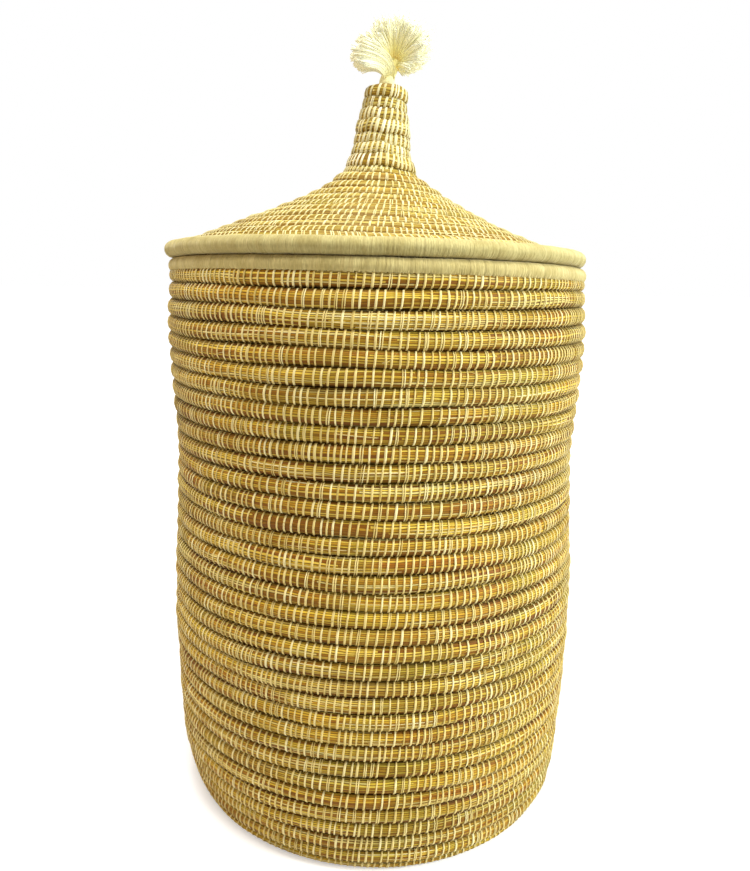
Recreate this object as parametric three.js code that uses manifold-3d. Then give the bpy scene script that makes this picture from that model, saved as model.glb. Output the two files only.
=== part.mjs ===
// Lidded basket of coiled grass, in millimetres, with +Z up and the front facing -Y.
// The origin is the middle of the flat underside. The basket is one rope of grass stalks,
// coiled from the middle of the base up to the mouth. The lid is a second rope, coiled from
// the brim up a hollow cone and neck, with a yarn tassel drawn through the top.
import * as THREE from 'three';
import * as BufferGeometryUtils from 'three/addons/utils/BufferGeometryUtils.js';
import Module from 'manifold-3d';

const wasm = await Module();
wasm.setup();

// Fits and facets
const seatGap = 0.3; // between two pieces that touch
const roundSegments = 24; // facets round the basket and the lid
const neckSegments = 12; // facets round the neck
const rimSteps = 6; // facets round a section of the rim
const brimSteps = 8; // facets round a section of the brim
const ridgeSteps = 3; // facets across one ridge of the coil

// Base
const baseThickness = 14;
const baseCoilWidth = 14.6;
const baseGroove = 3;
const startRadius = 15; // tight first turns in the middle
const startFlatRadius = 9; // flat of the middle, which touches the floor

// Wall: its outer radius swells and draws in between these heights
const wallTop = 519;
const wallCoilHeight = 15.3;
const wallThickness = 13.5;
const wallGroove = 3;
const mouthRadius = 200.5;
const shoulderRadius = 202.5;
const shoulderHeight = 455;
const waistRadius = 197.5;
const waistHeight = 350;
const bellyRadius = 204.5;
const bellyHeight = 190;
const ankleRadius = 200.5;
const footTuck = 11.5; // how far the foot draws in at the floor
const footTuckHeight = 98;

// Rim and brim: a ring of grass wrapped in yarn
const wrapThickness = 1.5;
const rimTubeRadius = 7;
const rimSink = 3.7; // how much of the rim's round section the wall takes away
const brimTubeRadius = 8;
const brimOverhang = 1.5; // past the mouth
const wrapSlit = 14; // half angle that the brim's yarn leaves open towards the cone, degrees

// Cone of the lid
const coneThickness = 12;
const coneCoilWidth = 14.6;
const coneGroove = 2.5;
const coneRise = 77; // from its outer edge to the foot of the neck
const coneTopRadius = 33;
const coneFootSlope = 0.38;
const coneTopSlope = 1.3;
const undersideHalvings = 40; // rounds in the search for a height on the cone's underside

// Neck of the lid
const neckTop = 692;
const neckCoilHeight = 11;
const neckFootRadius = 30;
const neckTopRadius = 21;
const neckFlare = 3; // how much wider its foot spreads, to meet the cone
const neckFlarePower = 4; // the flare is gone within the lowest coils
const neckThickness = 12;
const neckGroove = 2.5;
const neckLean = 5; // how far the top stands to the right of the foot

// Ring under the lid that keeps it in the mouth
const ringClearance = 3;
const ringWidth = 12;
const ringDepth = 24; // below the brim
const ringCoils = 2;
const ringGroove = 1.5;

// Tassel
const stemRadius = 6.5;
const stemTwists = 0.75;
const stemLobes = 3;
const stemLobeDepth = 0.7;
const stemSides = 9;
const stemSteps = 5; // rings along the stem, above its round lower end
const stemFootAngles = [75, 50, 25]; // of that end's rings below the level of the pivot, degrees
const stemReach = 11.5; // sideways, from the mouth of the neck to the heart of the head
const heartHeight = 24; // above the mouth of the neck
const heartRadius = 9;
const headRadius = 39;
const lockCount = 17;
const lockRadius = 10;
const lockSides = 5;
const lockProfile = [
	[0, 0.3],
	[0.45, 0.75],
	[0.82, 1],
	[1, 0.45],
]; // shares of a lock's length and of its radius
const lowestLock = -14; // degrees above the level of the heart
const knotLength = 22;
const knotAngles = [-60, -25, 0, 35, 65]; // of the rings of its round side, degrees

const degrees = Math.PI / 180;

// Materials, in the colours of dry grass and undyed yarn
const grassRoughness = 0.75;
const yarnRoughness = 0.95;

function plainMaterial(color, roughness) {
	return new THREE.MeshStandardMaterial({ color, roughness, metalness: 0, flatShading: true });
}

const grass = (color) => plainMaterial(color, grassRoughness);
const yarn = (color) => plainMaterial(color, yarnRoughness);

/** A closed skin that is put together from numbered points and triangles. */
class Skin {
	constructor() {
		this.positions = [];
		this.indices = [];
	}

	point(x, y, z) {
		this.positions.push(x, y, z);
		return this.positions.length / 3 - 1;
	}

	/** Adds a triangle, unless two of its corners are the same point. */
	triangle(a, b, c) {
		if (a !== b && b !== c && c !== a) this.indices.push(a, b, c);
	}

	quad(a, b, c, d) {
		this.triangle(a, b, c);
		this.triangle(a, c, d);
	}

	geometry() {
		const geometry = new THREE.BufferGeometry();
		geometry.setAttribute('position', new THREE.Float32BufferAttribute(this.positions, 3));
		geometry.setIndex(this.indices);
		return geometry;
	}
}

/** Height of a ridge of the coil, from 0 in the grooves beside it to 1 along its flattened crest. */
function ridge(share) {
	return Math.min(1, ridgeSteps * Math.min(share, 1 - share));
}

/**
 * A shell wound from one rope, as a single helix with tapered ends, so that its first and last
 * turns finish level. `along` gives the crest line as { radius, height, out, up, shift } for a
 * place counted in turns, where (out, up) is the direction that the ridges face. The other side
 * of the shell is smooth, at one thickness from the crest line.
 */
function coiledShell({ turns, segments, thickness, groove, along, middle }) {
	const skin = new Skin();
	const sections = (turns + 1) * segments;

	const place = (section, turn, depth) => {
		const angle = Math.PI - (section / segments) * 2 * Math.PI;
		const { radius, height, out, up, shift = 0 } = along(turn);
		const reach = radius - depth * out;
		return skin.point(reach * Math.sin(angle) + shift, -reach * Math.cos(angle), height - depth * up);
	};

	// Each side of the shell has a chain of groove points that the turn below and the turn above share
	const side = (steps, grooveDepth) => {
		const edges = [];
		for (let section = 0; section <= sections + segments; section++) {
			const turn = THREE.MathUtils.clamp(section / segments - 1, 0, turns);
			edges.push(place(section, turn, grooveDepth));
		}
		edges[0] = edges[segments];
		edges[sections + segments] = edges[sections];
		const columns = [];
		for (let section = 0; section <= sections; section++) {
			const low = THREE.MathUtils.clamp(section / segments - 1, 0, turns);
			const high = Math.min(section / segments, turns);
			const column = [edges[section]];
			for (let step = 1; step < steps; step++) {
				const share = step / steps;
				const swell = ridge(share) * (high - low);
				const depth = grooveDepth * (1 - swell);
				const isPointed = section === 0 || section === sections;
				column.push(isPointed ? edges[section] : place(section, low + (high - low) * share, depth));
			}
			column.push(edges[section + segments]);
			columns.push(column);
		}
		return { edges, columns };
	};

	const outer = side(ridgeSteps, groove);
	const inner = side(1, thickness);
	for (let section = 0; section < sections; section++) {
		const [left, right] = [outer.columns[section], outer.columns[section + 1]];
		for (let step = 0; step < ridgeSteps; step++) {
			skin.quad(left[step], left[step + 1], right[step + 1], right[step]);
		}
		const [near, far] = [inner.columns[section], inner.columns[section + 1]];
		skin.quad(near[0], far[0], far[1], near[1]);
	}

	// The level last turn closes with a ring, and the first with a ring or a whole middle
	for (let segment = 0; segment < segments; segment++) {
		const last = sections + segment;
		skin.quad(outer.edges[last], inner.edges[last], inner.edges[last + 1], outer.edges[last + 1]);
	}
	if (middle) {
		closeMiddle(skin, outer.edges, inner.edges, segments, middle);
	} else {
		for (let segment = 0; segment < segments; segment++) {
			const next = segment + 1;
			skin.quad(outer.edges[segment], outer.edges[next], inner.edges[next], inner.edges[segment]);
		}
	}
	return skin.geometry();
}

/** Fills the middle of a coiled disc: a flat of its own underneath, and a low dome on top. */
function closeMiddle(skin, outerEdges, innerEdges, segments, { flatRadius, bottom, top }) {
	const below = skin.point(0, 0, bottom);
	const above = skin.point(0, 0, top);
	const flat = [];
	for (let segment = 0; segment < segments; segment++) {
		const angle = Math.PI - (segment / segments) * 2 * Math.PI;
		flat.push(skin.point(flatRadius * Math.sin(angle), -flatRadius * Math.cos(angle), bottom));
	}
	for (let segment = 0; segment < segments; segment++) {
		const next = segment + 1;
		const [here, there] = [flat[segment], flat[next % segments]];
		skin.triangle(below, here, there);
		skin.quad(here, outerEdges[segment], outerEdges[next], there);
		skin.triangle(above, innerEdges[next], innerEdges[segment]);
	}
}

/** A ring turned round the Z axis from a closed outline of [radius, height] points. */
function turnedRing(outline) {
	const points = outline.map(([radius, height]) => new THREE.Vector2(radius, height));
	points.push(points[0].clone());
	return new THREE.LatheGeometry(points, roundSegments).rotateX(Math.PI / 2);
}

/** Points of an arc, as [radius, height], from one angle to another in degrees. */
function arc(centre, size, from, to, steps) {
	const points = [];
	for (let step = 0; step <= steps; step++) {
		const angle = (from + ((to - from) * step) / steps) * degrees;
		points.push([centre[0] + size * Math.cos(angle), centre[1] + size * Math.sin(angle)]);
	}
	return points;
}

/** A solid skinned over rings of equally many points, closed at both ends. */
function loft(rings) {
	const skin = new Skin();
	const count = rings[0].length;
	const rows = rings.map((ring) => ring.map((point) => skin.point(point.x, point.y, point.z)));
	const cap = (ring) => {
		const middle = ring.reduce((sum, point) => sum.add(point), new THREE.Vector3()).divideScalar(count);
		return skin.point(middle.x, middle.y, middle.z);
	};
	const first = cap(rings[0]);
	const last = cap(rings[rings.length - 1]);
	for (let side = 0; side < count; side++) {
		const next = (side + 1) % count;
		skin.triangle(first, rows[0][next], rows[0][side]);
		for (let row = 0; row + 1 < rows.length; row++) {
			skin.quad(rows[row][side], rows[row][next], rows[row + 1][next], rows[row + 1][side]);
		}
		skin.triangle(last, rows[rows.length - 1][side], rows[rows.length - 1][next]);
	}
	return skin.geometry();
}

/** A ring of points round a centre, square to a direction, with a radius for each angle. */
function ringAbout(centre, direction, sides, radiusAt) {
	const turn = new THREE.Quaternion().setFromUnitVectors(new THREE.Vector3(0, 0, 1), direction);
	return Array.from({ length: sides }, (_, side) => {
		const angle = (side / sides) * 2 * Math.PI;
		const radius = radiusAt(angle);
		const point = new THREE.Vector3(radius * Math.cos(angle), radius * Math.sin(angle), 0);
		return point.applyQuaternion(turn).add(centre);
	});
}

function toManifold(geometry) {
	const bare = new THREE.BufferGeometry();
	bare.setAttribute('position', geometry.getAttribute('position'));
	bare.setIndex(geometry.getIndex());
	const merged = BufferGeometryUtils.mergeVertices(bare, 1e-4);
	const vertProperties = new Float32Array(merged.getAttribute('position').array);
	const triVerts = new Uint32Array(merged.getIndex().array);
	return new wasm.Manifold(new wasm.Mesh({ numProp: 3, vertProperties, triVerts }));
}

function fromManifold(solid) {
	const { vertProperties, triVerts } = solid.getMesh();
	const geometry = new THREE.BufferGeometry();
	geometry.setAttribute('position', new THREE.Float32BufferAttribute(vertProperties, 3));
	geometry.setIndex(Array.from(triVerts));
	return geometry;
}

// Outline of the wall

/** Outer radius of the wall at a height above the floor. */
function wallRadius(height) {
	const stations = [
		[0, ankleRadius],
		[bellyHeight, bellyRadius],
		[waistHeight, waistRadius],
		[shoulderHeight, shoulderRadius],
		[wallTop, mouthRadius],
	];
	const upper = Math.max(1, stations.findIndex(([station]) => station >= height));
	const [lowHeight, lowRadius] = stations[upper - 1];
	const [highHeight, highRadius] = stations[upper];
	const share = THREE.MathUtils.smoothstep(height, lowHeight, highHeight);
	const below = Math.max(0, 1 - height / footTuckHeight);
	return lowRadius + (highRadius - lowRadius) * share - footTuck * (1 - Math.sqrt(1 - below ** 2));
}

// Base and wall

const baseRadius = wallRadius(baseThickness / 2);
const baseTurns = Math.round((baseRadius - startRadius) / baseCoilWidth);
const wallBottom = baseThickness + seatGap;
const wallTurns = Math.round((wallTop - wallBottom) / wallCoilHeight);

function makeBase() {
	return coiledShell({
		turns: baseTurns,
		segments: roundSegments,
		thickness: baseThickness,
		groove: baseGroove,
		along: (turn) => ({
			radius: THREE.MathUtils.lerp(startRadius, baseRadius, turn / baseTurns),
			height: 0,
			out: 0,
			up: -1,
		}),
		middle: { flatRadius: startFlatRadius, bottom: 0, top: baseThickness },
	});
}

function makeWall() {
	return coiledShell({
		turns: wallTurns,
		segments: roundSegments,
		thickness: wallThickness,
		groove: wallGroove,
		along: (turn) => {
			const height = THREE.MathUtils.lerp(wallBottom, wallTop, turn / wallTurns);
			return { radius: wallRadius(height), height, out: 1, up: 0 };
		},
	});
}

// Rim: yarn over a ring of grass, standing on the level top of the wall

const rimBase = wallTop + seatGap;
const rimCentre = [mouthRadius - rimTubeRadius, rimBase + rimTubeRadius - rimSink];
const rimTop = rimCentre[1] + rimTubeRadius;

/** Angle at which a round section of this size meets the level of the rim's base. */
function rimCut(size) {
	return Math.asin((rimCentre[1] - rimBase) / size) / degrees;
}

function rimArc(size) {
	const cut = rimCut(size);
	return arc(rimCentre, size, -cut, 180 + cut, rimSteps);
}

function makeRimWrap() {
	const outside = rimArc(rimTubeRadius);
	const inside = rimArc(rimTubeRadius - wrapThickness);
	return turnedRing([...outside, ...inside.reverse()]);
}

function makeRimCore() {
	return turnedRing(rimArc(rimTubeRadius - wrapThickness - seatGap));
}

// Brim: yarn over a ring of grass, resting on the rim and open towards the cone

const brimCentre = [mouthRadius + brimOverhang - brimTubeRadius, rimTop + seatGap + brimTubeRadius];

function brimArc(size) {
	return arc(brimCentre, size, wrapSlit - 180, 180 - wrapSlit, brimSteps);
}

function makeBrimWrap() {
	const outside = brimArc(brimTubeRadius);
	const inside = brimArc(brimTubeRadius - wrapThickness);
	return turnedRing([...outside, ...inside.reverse()]);
}

function makeBrimCore() {
	return turnedRing(brimArc(brimTubeRadius - wrapThickness - seatGap));
}

// Cone: its edge is bound to the upper lip of the brim's yarn, and it steepens towards the neck

const slopeSize = Math.hypot(1, coneFootSlope);
const brimLip = [
	brimCentre[0] - brimTubeRadius * Math.cos(wrapSlit * degrees),
	brimCentre[1] + brimTubeRadius * Math.sin(wrapSlit * degrees),
];
const coneFoot = new THREE.Vector2(
	brimLip[0] - seatGap + (coneGroove * coneFootSlope) / slopeSize,
	brimLip[1] + coneGroove / slopeSize
);
const coneTop = new THREE.Vector2(coneTopRadius, coneFoot.y + coneRise);
const footLine = coneFoot.y + coneFootSlope * coneFoot.x;
const topLine = coneTop.y + coneTopSlope * coneTop.x;
const bendRadius = (footLine - topLine) / (coneFootSlope - coneTopSlope);
const coneBend = new THREE.Vector2(bendRadius, footLine - coneFootSlope * bendRadius);
const coneCrest = new THREE.QuadraticBezierCurve(coneFoot, coneBend, coneTop);
const coneTurns = Math.round(coneCrest.getLength() / coneCoilWidth);

/** Crest line of the cone at a share of its length, with the direction that it faces. */
function coneAlong(share) {
	const point = coneCrest.getPointAt(share);
	const tangent = coneCrest.getTangentAt(share);
	return { radius: point.x, height: point.y, out: tangent.y, up: -tangent.x };
}

/** Point [radius, height] at a depth below the crest line of the cone. */
function conePoint(share, depth) {
	const { radius, height, out, up } = coneAlong(share);
	return [radius - depth * out, height - depth * up];
}

function makeCone() {
	return coiledShell({
		turns: coneTurns,
		segments: roundSegments,
		thickness: coneThickness,
		groove: coneGroove,
		along: (turn) => coneAlong(turn / coneTurns),
	});
}

// Neck: a narrow tube of smaller coils, seated on the sloping upper edge of the cone

const [edgeOuter, edgeInner] = [conePoint(1, coneGroove), conePoint(1, coneThickness)];
const edgeSlope = (edgeOuter[1] - edgeInner[1]) / (edgeOuter[0] - edgeInner[0]);
const neckSeatRadius = neckFootRadius + neckFlare - neckGroove;
const neckSeatHeight = edgeInner[1] + (neckSeatRadius - edgeInner[0]) * edgeSlope;
const neckFoot = neckSeatHeight + seatGap * Math.hypot(1, edgeSlope);
const neckTurns = Math.round((neckTop - neckFoot) / neckCoilHeight);

function neckAt(height) {
	const share = (height - neckFoot) / (neckTop - neckFoot);
	const taper = THREE.MathUtils.lerp(neckFootRadius, neckTopRadius, share);
	return {
		radius: taper + neckFlare * (1 - share) ** neckFlarePower,
		height,
		out: 1,
		up: 0,
		shift: neckLean * share,
	};
}

function makeNeck() {
	return coiledShell({
		turns: neckTurns,
		segments: neckSegments,
		thickness: neckThickness,
		groove: neckGroove,
		along: (turn) => neckAt(THREE.MathUtils.lerp(neckFoot, neckTop, turn / neckTurns)),
	});
}

// Locating ring: coils hung under the cone, with an easy fit inside the rim

const ringOuterRadius = rimCentre[0] - rimTubeRadius - ringClearance;
const ringBottom = brimCentre[1] - brimTubeRadius - ringDepth;

/** Height of the cone's underside at a radius, found by halving. */
function undersideAt(radius) {
	let [low, high] = [0, 1];
	for (let halving = 0; halving < undersideHalvings; halving++) {
		const middle = (low + high) / 2;
		if (conePoint(middle, coneThickness)[0] > radius) low = middle;
		else high = middle;
	}
	return conePoint(low, coneThickness)[1];
}

function makeLocatingRing() {
	const innerRadius = ringOuterRadius - ringWidth;
	const outerTop = undersideAt(ringOuterRadius) - 2 * seatGap;
	const innerTop = undersideAt(innerRadius) - 2 * seatGap;
	const outline = [];
	const outlineSteps = ringCoils * ridgeSteps;
	for (let step = 0; step <= outlineSteps; step++) {
		const depth = ringGroove * (1 - ridge((step / ridgeSteps) % 1));
		const height = THREE.MathUtils.lerp(ringBottom, outerTop, step / outlineSteps);
		outline.push([ringOuterRadius - depth, height]);
	}
	for (let step = ringCoils; step >= 0; step--) {
		outline.push([innerRadius, THREE.MathUtils.lerp(ringBottom, innerTop, step / ringCoils)]);
	}
	return turnedRing(outline);
}

// Tassel: a hank of yarn knotted inside the neck, twisted into a stem and cut into a round head

const pivot = new THREE.Vector3(neckLean, 0, neckTop);
const heart = new THREE.Vector3(neckLean + stemReach, 0, neckTop + heartHeight);
const stemBend = new THREE.Vector3(pivot.x, 0, (pivot.z + heart.z) / 2);
const stemPath = new THREE.QuadraticBezierCurve3(pivot, stemBend, heart);
const stemEnd = 1 - heartRadius / stemPath.getLength();

/** Twisted stem with a round lower end, which rocks in the mouth of the neck. */
function stemRings(extra) {
	const rings = [];
	const up = new THREE.Vector3(0, 0, 1);
	for (const angle of stemFootAngles) {
		const drop = (stemRadius + extra) * Math.sin(angle * degrees);
		const radius = (stemRadius + extra) * Math.cos(angle * degrees);
		const centre = new THREE.Vector3(pivot.x, 0, pivot.z - drop);
		rings.push(ringAbout(centre, up, stemSides, () => radius));
	}
	for (let step = 0; step <= stemSteps; step++) {
		const share = (stemEnd * step) / stemSteps;
		const twist = stemTwists * 2 * Math.PI * share;
		const lobeDepth = step > 0 ? stemLobeDepth : 0;
		const radiusAt = (angle) => {
			const lobe = Math.cos(stemLobes * (angle - twist)) - 1;
			return stemRadius + extra + lobeDepth * lobe;
		};
		const [centre, tangent] = [stemPath.getPointAt(share), stemPath.getTangentAt(share)];
		rings.push(ringAbout(centre, tangent, stemSides, radiusAt));
	}
	return rings;
}

function makeStem() {
	return loft(stemRings(0));
}

/** A lock of yarn: it leaves the heart thin, swells and ends blunt. */
function makeLock(direction, length) {
	const rings = lockProfile.map(([share, size]) => {
		const centre = heart.clone().addScaledVector(direction, length * share);
		return ringAbout(centre, direction, lockSides, () => lockRadius * size);
	});
	return toManifold(loft(rings));
}

/** Head of the tassel: locks spread evenly over a dome round the heart. */
function makeHead() {
	const heartGeometry = new THREE.IcosahedronGeometry(heartRadius, 1);
	heartGeometry.deleteAttribute('normal');
	heartGeometry.deleteAttribute('uv');
	heartGeometry.translate(heart.x, heart.y, heart.z);
	let head = toManifold(BufferGeometryUtils.mergeVertices(heartGeometry, 1e-3));
	const goldenAngle = Math.PI * (3 - Math.sqrt(5));
	const lowest = Math.sin(lowestLock * degrees);
	for (let lock = 0; lock < lockCount; lock++) {
		const rise = THREE.MathUtils.lerp(1, lowest, (lock + 0.5) / lockCount);
		const angle = goldenAngle * lock;
		const spread = Math.sqrt(1 - rise ** 2);
		const direction = new THREE.Vector3(spread * Math.cos(angle), spread * Math.sin(angle), rise);
		head = head.add(makeLock(direction, headRadius));
	}
	const socket = stemRings(seatGap);
	const tangent = stemPath.getTangentAt(stemEnd);
	socket.push(socket[socket.length - 1].map((point) => point.clone().addScaledVector(tangent, seatGap)));
	return fromManifold(head.subtract(toManifold(loft(socket))));
}

/** Knot that stops the hank from being drawn out, wedged in the narrowing bore of the neck. */
function makeKnot() {
	const top = neckTop - stemRadius - seatGap;
	const middle = top - knotLength / 2;
	const seat = neckAt(middle);
	const widest = seat.radius - neckThickness - seatGap;
	const outline = [new THREE.Vector2(0, top - knotLength)];
	const steepest = Math.sin(Math.max(...knotAngles) * degrees);
	for (const angle of knotAngles) {
		const lift = Math.sin(angle * degrees) / steepest;
		const height = middle + (lift * knotLength) / 2;
		outline.push(new THREE.Vector2(widest * Math.cos(angle * degrees), height));
	}
	outline.push(new THREE.Vector2(0, top));
	return new THREE.LatheGeometry(outline, neckSegments).rotateX(Math.PI / 2).translate(seat.shift, 0, 0);
}

// Assembly

const basket = new THREE.Group();
const lid = new THREE.Group();
const tassel = new THREE.Group();

function addPiece(group, name, geometry, material) {
	const mesh = new THREE.Mesh(geometry, material);
	mesh.name = name;
	group.add(mesh);
}

addPiece(basket, 'base_coil', makeBase(), grass('#a8874a'));
addPiece(basket, 'wall_coil', makeWall(), grass('#b08d48'));
addPiece(basket, 'rim_core', makeRimCore(), grass('#a8874a'));
addPiece(basket, 'rim_wrap', makeRimWrap(), yarn('#cfc795'));

addPiece(lid, 'locating_ring', makeLocatingRing(), grass('#a8874a'));
addPiece(lid, 'brim_core', makeBrimCore(), grass('#a8874a'));
addPiece(lid, 'brim_wrap', makeBrimWrap(), yarn('#ddd6a6'));
addPiece(lid, 'lid_cone_coil', makeCone(), grass('#c09a52'));
addPiece(lid, 'lid_neck_coil', makeNeck(), grass('#b9985a'));
addPiece(lid, 'tassel_knot', makeKnot(), yarn('#efe4ae'));

addPiece(tassel, 'tassel_stem', makeStem(), yarn('#efe9c0'));
addPiece(tassel, 'tassel_head', makeHead(), yarn('#f3ebb8'));

const part = new THREE.Group();
part.add(basket, lid);
lid.add(tassel);

export default part;
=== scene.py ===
"""Lidded basket of coiled grass, dressed as it is made by hand.

Ropes of grass stalks are coiled turn on turn and bound with narrow pale strips. The rim and the
brim of the lid are wrapped in yarn, and a tassel of yarn stands out of the neck of the lid.
Lengths are in metres, +Z is up and the front faces -Y.
"""
import logging
import math
from dataclasses import dataclass, field
from enum import Enum
from typing import Callable

import bmesh
import bpy
import numpy as np
from mathutils import Matrix, Vector


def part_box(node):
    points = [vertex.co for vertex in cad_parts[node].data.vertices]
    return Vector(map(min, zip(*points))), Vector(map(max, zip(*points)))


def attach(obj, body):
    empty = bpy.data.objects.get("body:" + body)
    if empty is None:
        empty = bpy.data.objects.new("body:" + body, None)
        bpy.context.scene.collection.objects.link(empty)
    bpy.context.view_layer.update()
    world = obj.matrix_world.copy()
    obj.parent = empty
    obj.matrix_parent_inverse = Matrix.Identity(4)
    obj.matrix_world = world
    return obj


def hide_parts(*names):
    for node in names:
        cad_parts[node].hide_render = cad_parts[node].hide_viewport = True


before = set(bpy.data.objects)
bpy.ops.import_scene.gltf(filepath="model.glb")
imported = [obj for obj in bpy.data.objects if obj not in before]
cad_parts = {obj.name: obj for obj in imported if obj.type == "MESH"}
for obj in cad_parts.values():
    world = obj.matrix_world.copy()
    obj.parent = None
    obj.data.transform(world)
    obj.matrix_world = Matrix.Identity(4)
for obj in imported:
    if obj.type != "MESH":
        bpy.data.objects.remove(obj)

Array = np.ndarray
Piece = bpy.types.Object
Shape = bmesh.types.BMesh
Socket = bpy.types.NodeSocket
Tree = bpy.types.NodeTree
seeded = np.random.default_rng
MM = 0.001
TURN = 2 * math.pi
SPACING = 2.0  # between copies of a small shape before they are laid in place
WELD_REACH = 0.002 * MM  # points of a seam are nearer than this
LEAST = 1e-12  # added to a length before it divides, so that it is never 0
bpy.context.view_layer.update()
log = logging.getLogger("basket")


class Body(Enum):
    """Bodies of the frame that pieces ride on."""

    BASKET = "basket"
    LID = "lid"
    TASSEL = "tassel"


class Slot(Enum):
    """Material slots of the record."""

    GRASS = "grass_coil"
    CORE = "grass_core"
    WRAP = "wrap_yarn"
    TASSEL = "tassel_yarn"


class Face(Enum):
    """Side of a coiled shell, with the middle of its arc round a section of the rope."""

    OUTER = 0.0
    INNER = math.pi


# Hand-made wander


@dataclass(frozen=True)
class Drift:
    """Slow, seeded wander along a length, between about -1 and 1.

    Attributes:
        seed: Seed of its waves.
        shortest: Length of its shortest wave.
        longest: Length of its longest wave.
        waves: How many waves are added up.
    """

    seed: int
    shortest: float
    longest: float
    waves: int = 6

    def at(self, place: Array) -> Array:
        """Wander at each place.

        Args:
            place: Places along the length.

        Returns:
            One value for each place.
        """
        rng = seeded(self.seed)
        lengths = np.geomspace(self.shortest, self.longest, self.waves)
        lengths = lengths * rng.uniform(0.85, 1.15, self.waves)
        sizes = np.sqrt(lengths) / np.sqrt(lengths).sum() * 1.7
        phases = rng.uniform(0, TURN, self.waves)
        return sum(
            size * np.sin(TURN * place / length + phase)
            for size, length, phase in zip(sizes, lengths, phases)
        )


def smoothstep(value: Array, low: float, high: float) -> Array:
    """Smooth rise from 0 at low to 1 at high."""
    share = np.clip((value - low) / (high - low), 0, 1)
    return share * share * (3 - 2 * share)


def power(value: Array, exponent: float) -> Array:
    """Power of the size of a value, with its sign kept."""
    return np.sign(value) * np.abs(value) ** exponent


def unit(vectors: Array) -> Array:
    """Directions of vectors, one row each."""
    return vectors / (np.linalg.norm(vectors, axis=1)[:, None] + LEAST)


def round_axis(reach: Array, turning: Array, height: Array, shift: Array = 0.0) -> Array:
    """Places at a distance from the axis, at an angle that is 0 in front."""
    return np.column_stack((reach * np.sin(turning) + shift, -reach * np.cos(turning), height))


def bent_line(share: Array, start: Array, bend: Array, end: Array) -> tuple[Array, Array]:
    """Line between two points that a third draws aside.

    Args:
        share: Places along it, from 0 to 1.
        start: Where it starts.
        bend: Point that draws it aside.
        end: Where it ends.

    Returns:
        Its points and its directions, one row each.
    """
    share = share[:, None]
    points = (1 - share) ** 2 * start + 2 * share * (1 - share) * bend + share**2 * end
    return points, unit(2 * (1 - share) * (bend - start) + 2 * share * (end - bend))


# Making a mesh


@dataclass
class Laid:
    """Points of a piece once they are in place, with what its finish reads.

    Attributes:
        points: Places in the row frame, one row each.
        grain: Place on the surface in metres, along and across the stalks.
        crest: 1 on the crest of a coil or the tip of a yarn, 0 deep down.
        tone: Random number of the strip or strand that the point belongs to.
    """

    points: Array
    grain: Array
    crest: Array
    tone: Array


def added(name: str, data: bpy.types.ID) -> Piece:
    """Adds an object to the scene.

    Args:
        name: Name of the object.
        data: Its mesh, lamp or camera.

    Returns:
        The object.
    """
    made = bpy.data.objects.new(name, data)
    bpy.context.scene.collection.objects.link(made)
    return made


def finished(shape: Shape, lay: Callable[[Array], Laid], weld: bool = False) -> Piece:
    """Lays a flat-built shape in place and makes an object of it, which gets its name later.

    Args:
        shape: Shape in its own coordinates; it is used up.
        lay: Turns those coordinates into places and what the finish reads.
        weld: Whether to join seams and close open ends.

    Returns:
        The object, at the origin, with smooth faces that point outwards.
    """
    mesh = bpy.data.meshes.new("piece")
    shape.to_mesh(mesh)
    shape.free()
    flat = np.empty(len(mesh.vertices) * 3)
    mesh.vertices.foreach_get("co", flat)
    laid = lay(flat.reshape(-1, 3))
    mesh.vertices.foreach_set("co", laid.points.astype(np.float32).ravel())
    corners = np.empty(len(mesh.loops), np.int64)
    mesh.loops.foreach_get("vertex_index", corners)
    grain = mesh.uv_layers.new(name="grain")
    grain.data.foreach_set("uv", laid.grain[corners].astype(np.float32).ravel())
    for label in ("crest", "tone"):
        layer = mesh.attributes.new(label, "FLOAT", "POINT")
        layer.data.foreach_set("value", getattr(laid, label).astype(np.float32))
    made = bmesh.new()
    made.from_mesh(mesh)
    if weld:
        bmesh.ops.remove_doubles(made, verts=made.verts, dist=WELD_REACH)
        open_edges = [edge for edge in made.edges if edge.is_boundary]
        if open_edges:
            bmesh.ops.holes_fill(made, edges=open_edges, sides=0)
    bmesh.ops.recalc_face_normals(made, faces=made.faces)
    made.to_mesh(mesh)
    made.free()
    mesh.shade_smooth()
    return added("piece", mesh)


def bar(cuts: int, sides: int = 4) -> Shape:
    """A closed bar of unit size along Z, cut across.

    Args:
        cuts: Cuts across it.
        sides: Faces round it.

    Returns:
        The bar, from z -0.5 to 0.5 and up to 0.5 from its axis.
    """
    shape = bmesh.new()
    size = {"radius1": 0.5, "radius2": 0.5, "depth": 1.0}
    bmesh.ops.create_cone(shape, cap_ends=True, segments=sides, **size)
    long_edges = [e for e in shape.edges if abs(e.verts[0].co.z - e.verts[1].co.z) > 0.5]
    bmesh.ops.subdivide_edges(shape, edges=long_edges, cuts=cuts)
    return shape


def repeated(shape: Shape, count: int) -> Shape:
    """Repeats a small shape along X, doubling the row each time.

    Args:
        shape: The shape, round the origin.
        count: How many there are in the end.

    Returns:
        The same shape, with copy k moved by k times the spacing.
    """
    sizes = (len(shape.verts), len(shape.edges), len(shape.faces))
    made = 1
    while made < count:
        more = min(made, count - made)
        verts, edges, faces = (
            list(layer)[: size * more]
            for layer, size in zip((shape.verts, shape.edges, shape.faces), sizes)
        )
        copied = bmesh.ops.duplicate(shape, geom=verts + edges + faces)["geom"]
        moved = [part for part in copied if isinstance(part, bmesh.types.BMVert)]
        bmesh.ops.translate(shape, verts=moved, vec=(SPACING * made, 0, 0))
        made += more
    return shape


def split_copies(points: Array) -> tuple[Array, Array]:
    """Copy number of each point of a repeated shape, and the point within its copy."""
    copy = np.rint(points[:, 0] / SPACING).astype(int)
    return copy, points - np.outer(copy * SPACING, (1, 0, 0))


# Lines that the ropes are coiled along


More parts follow.
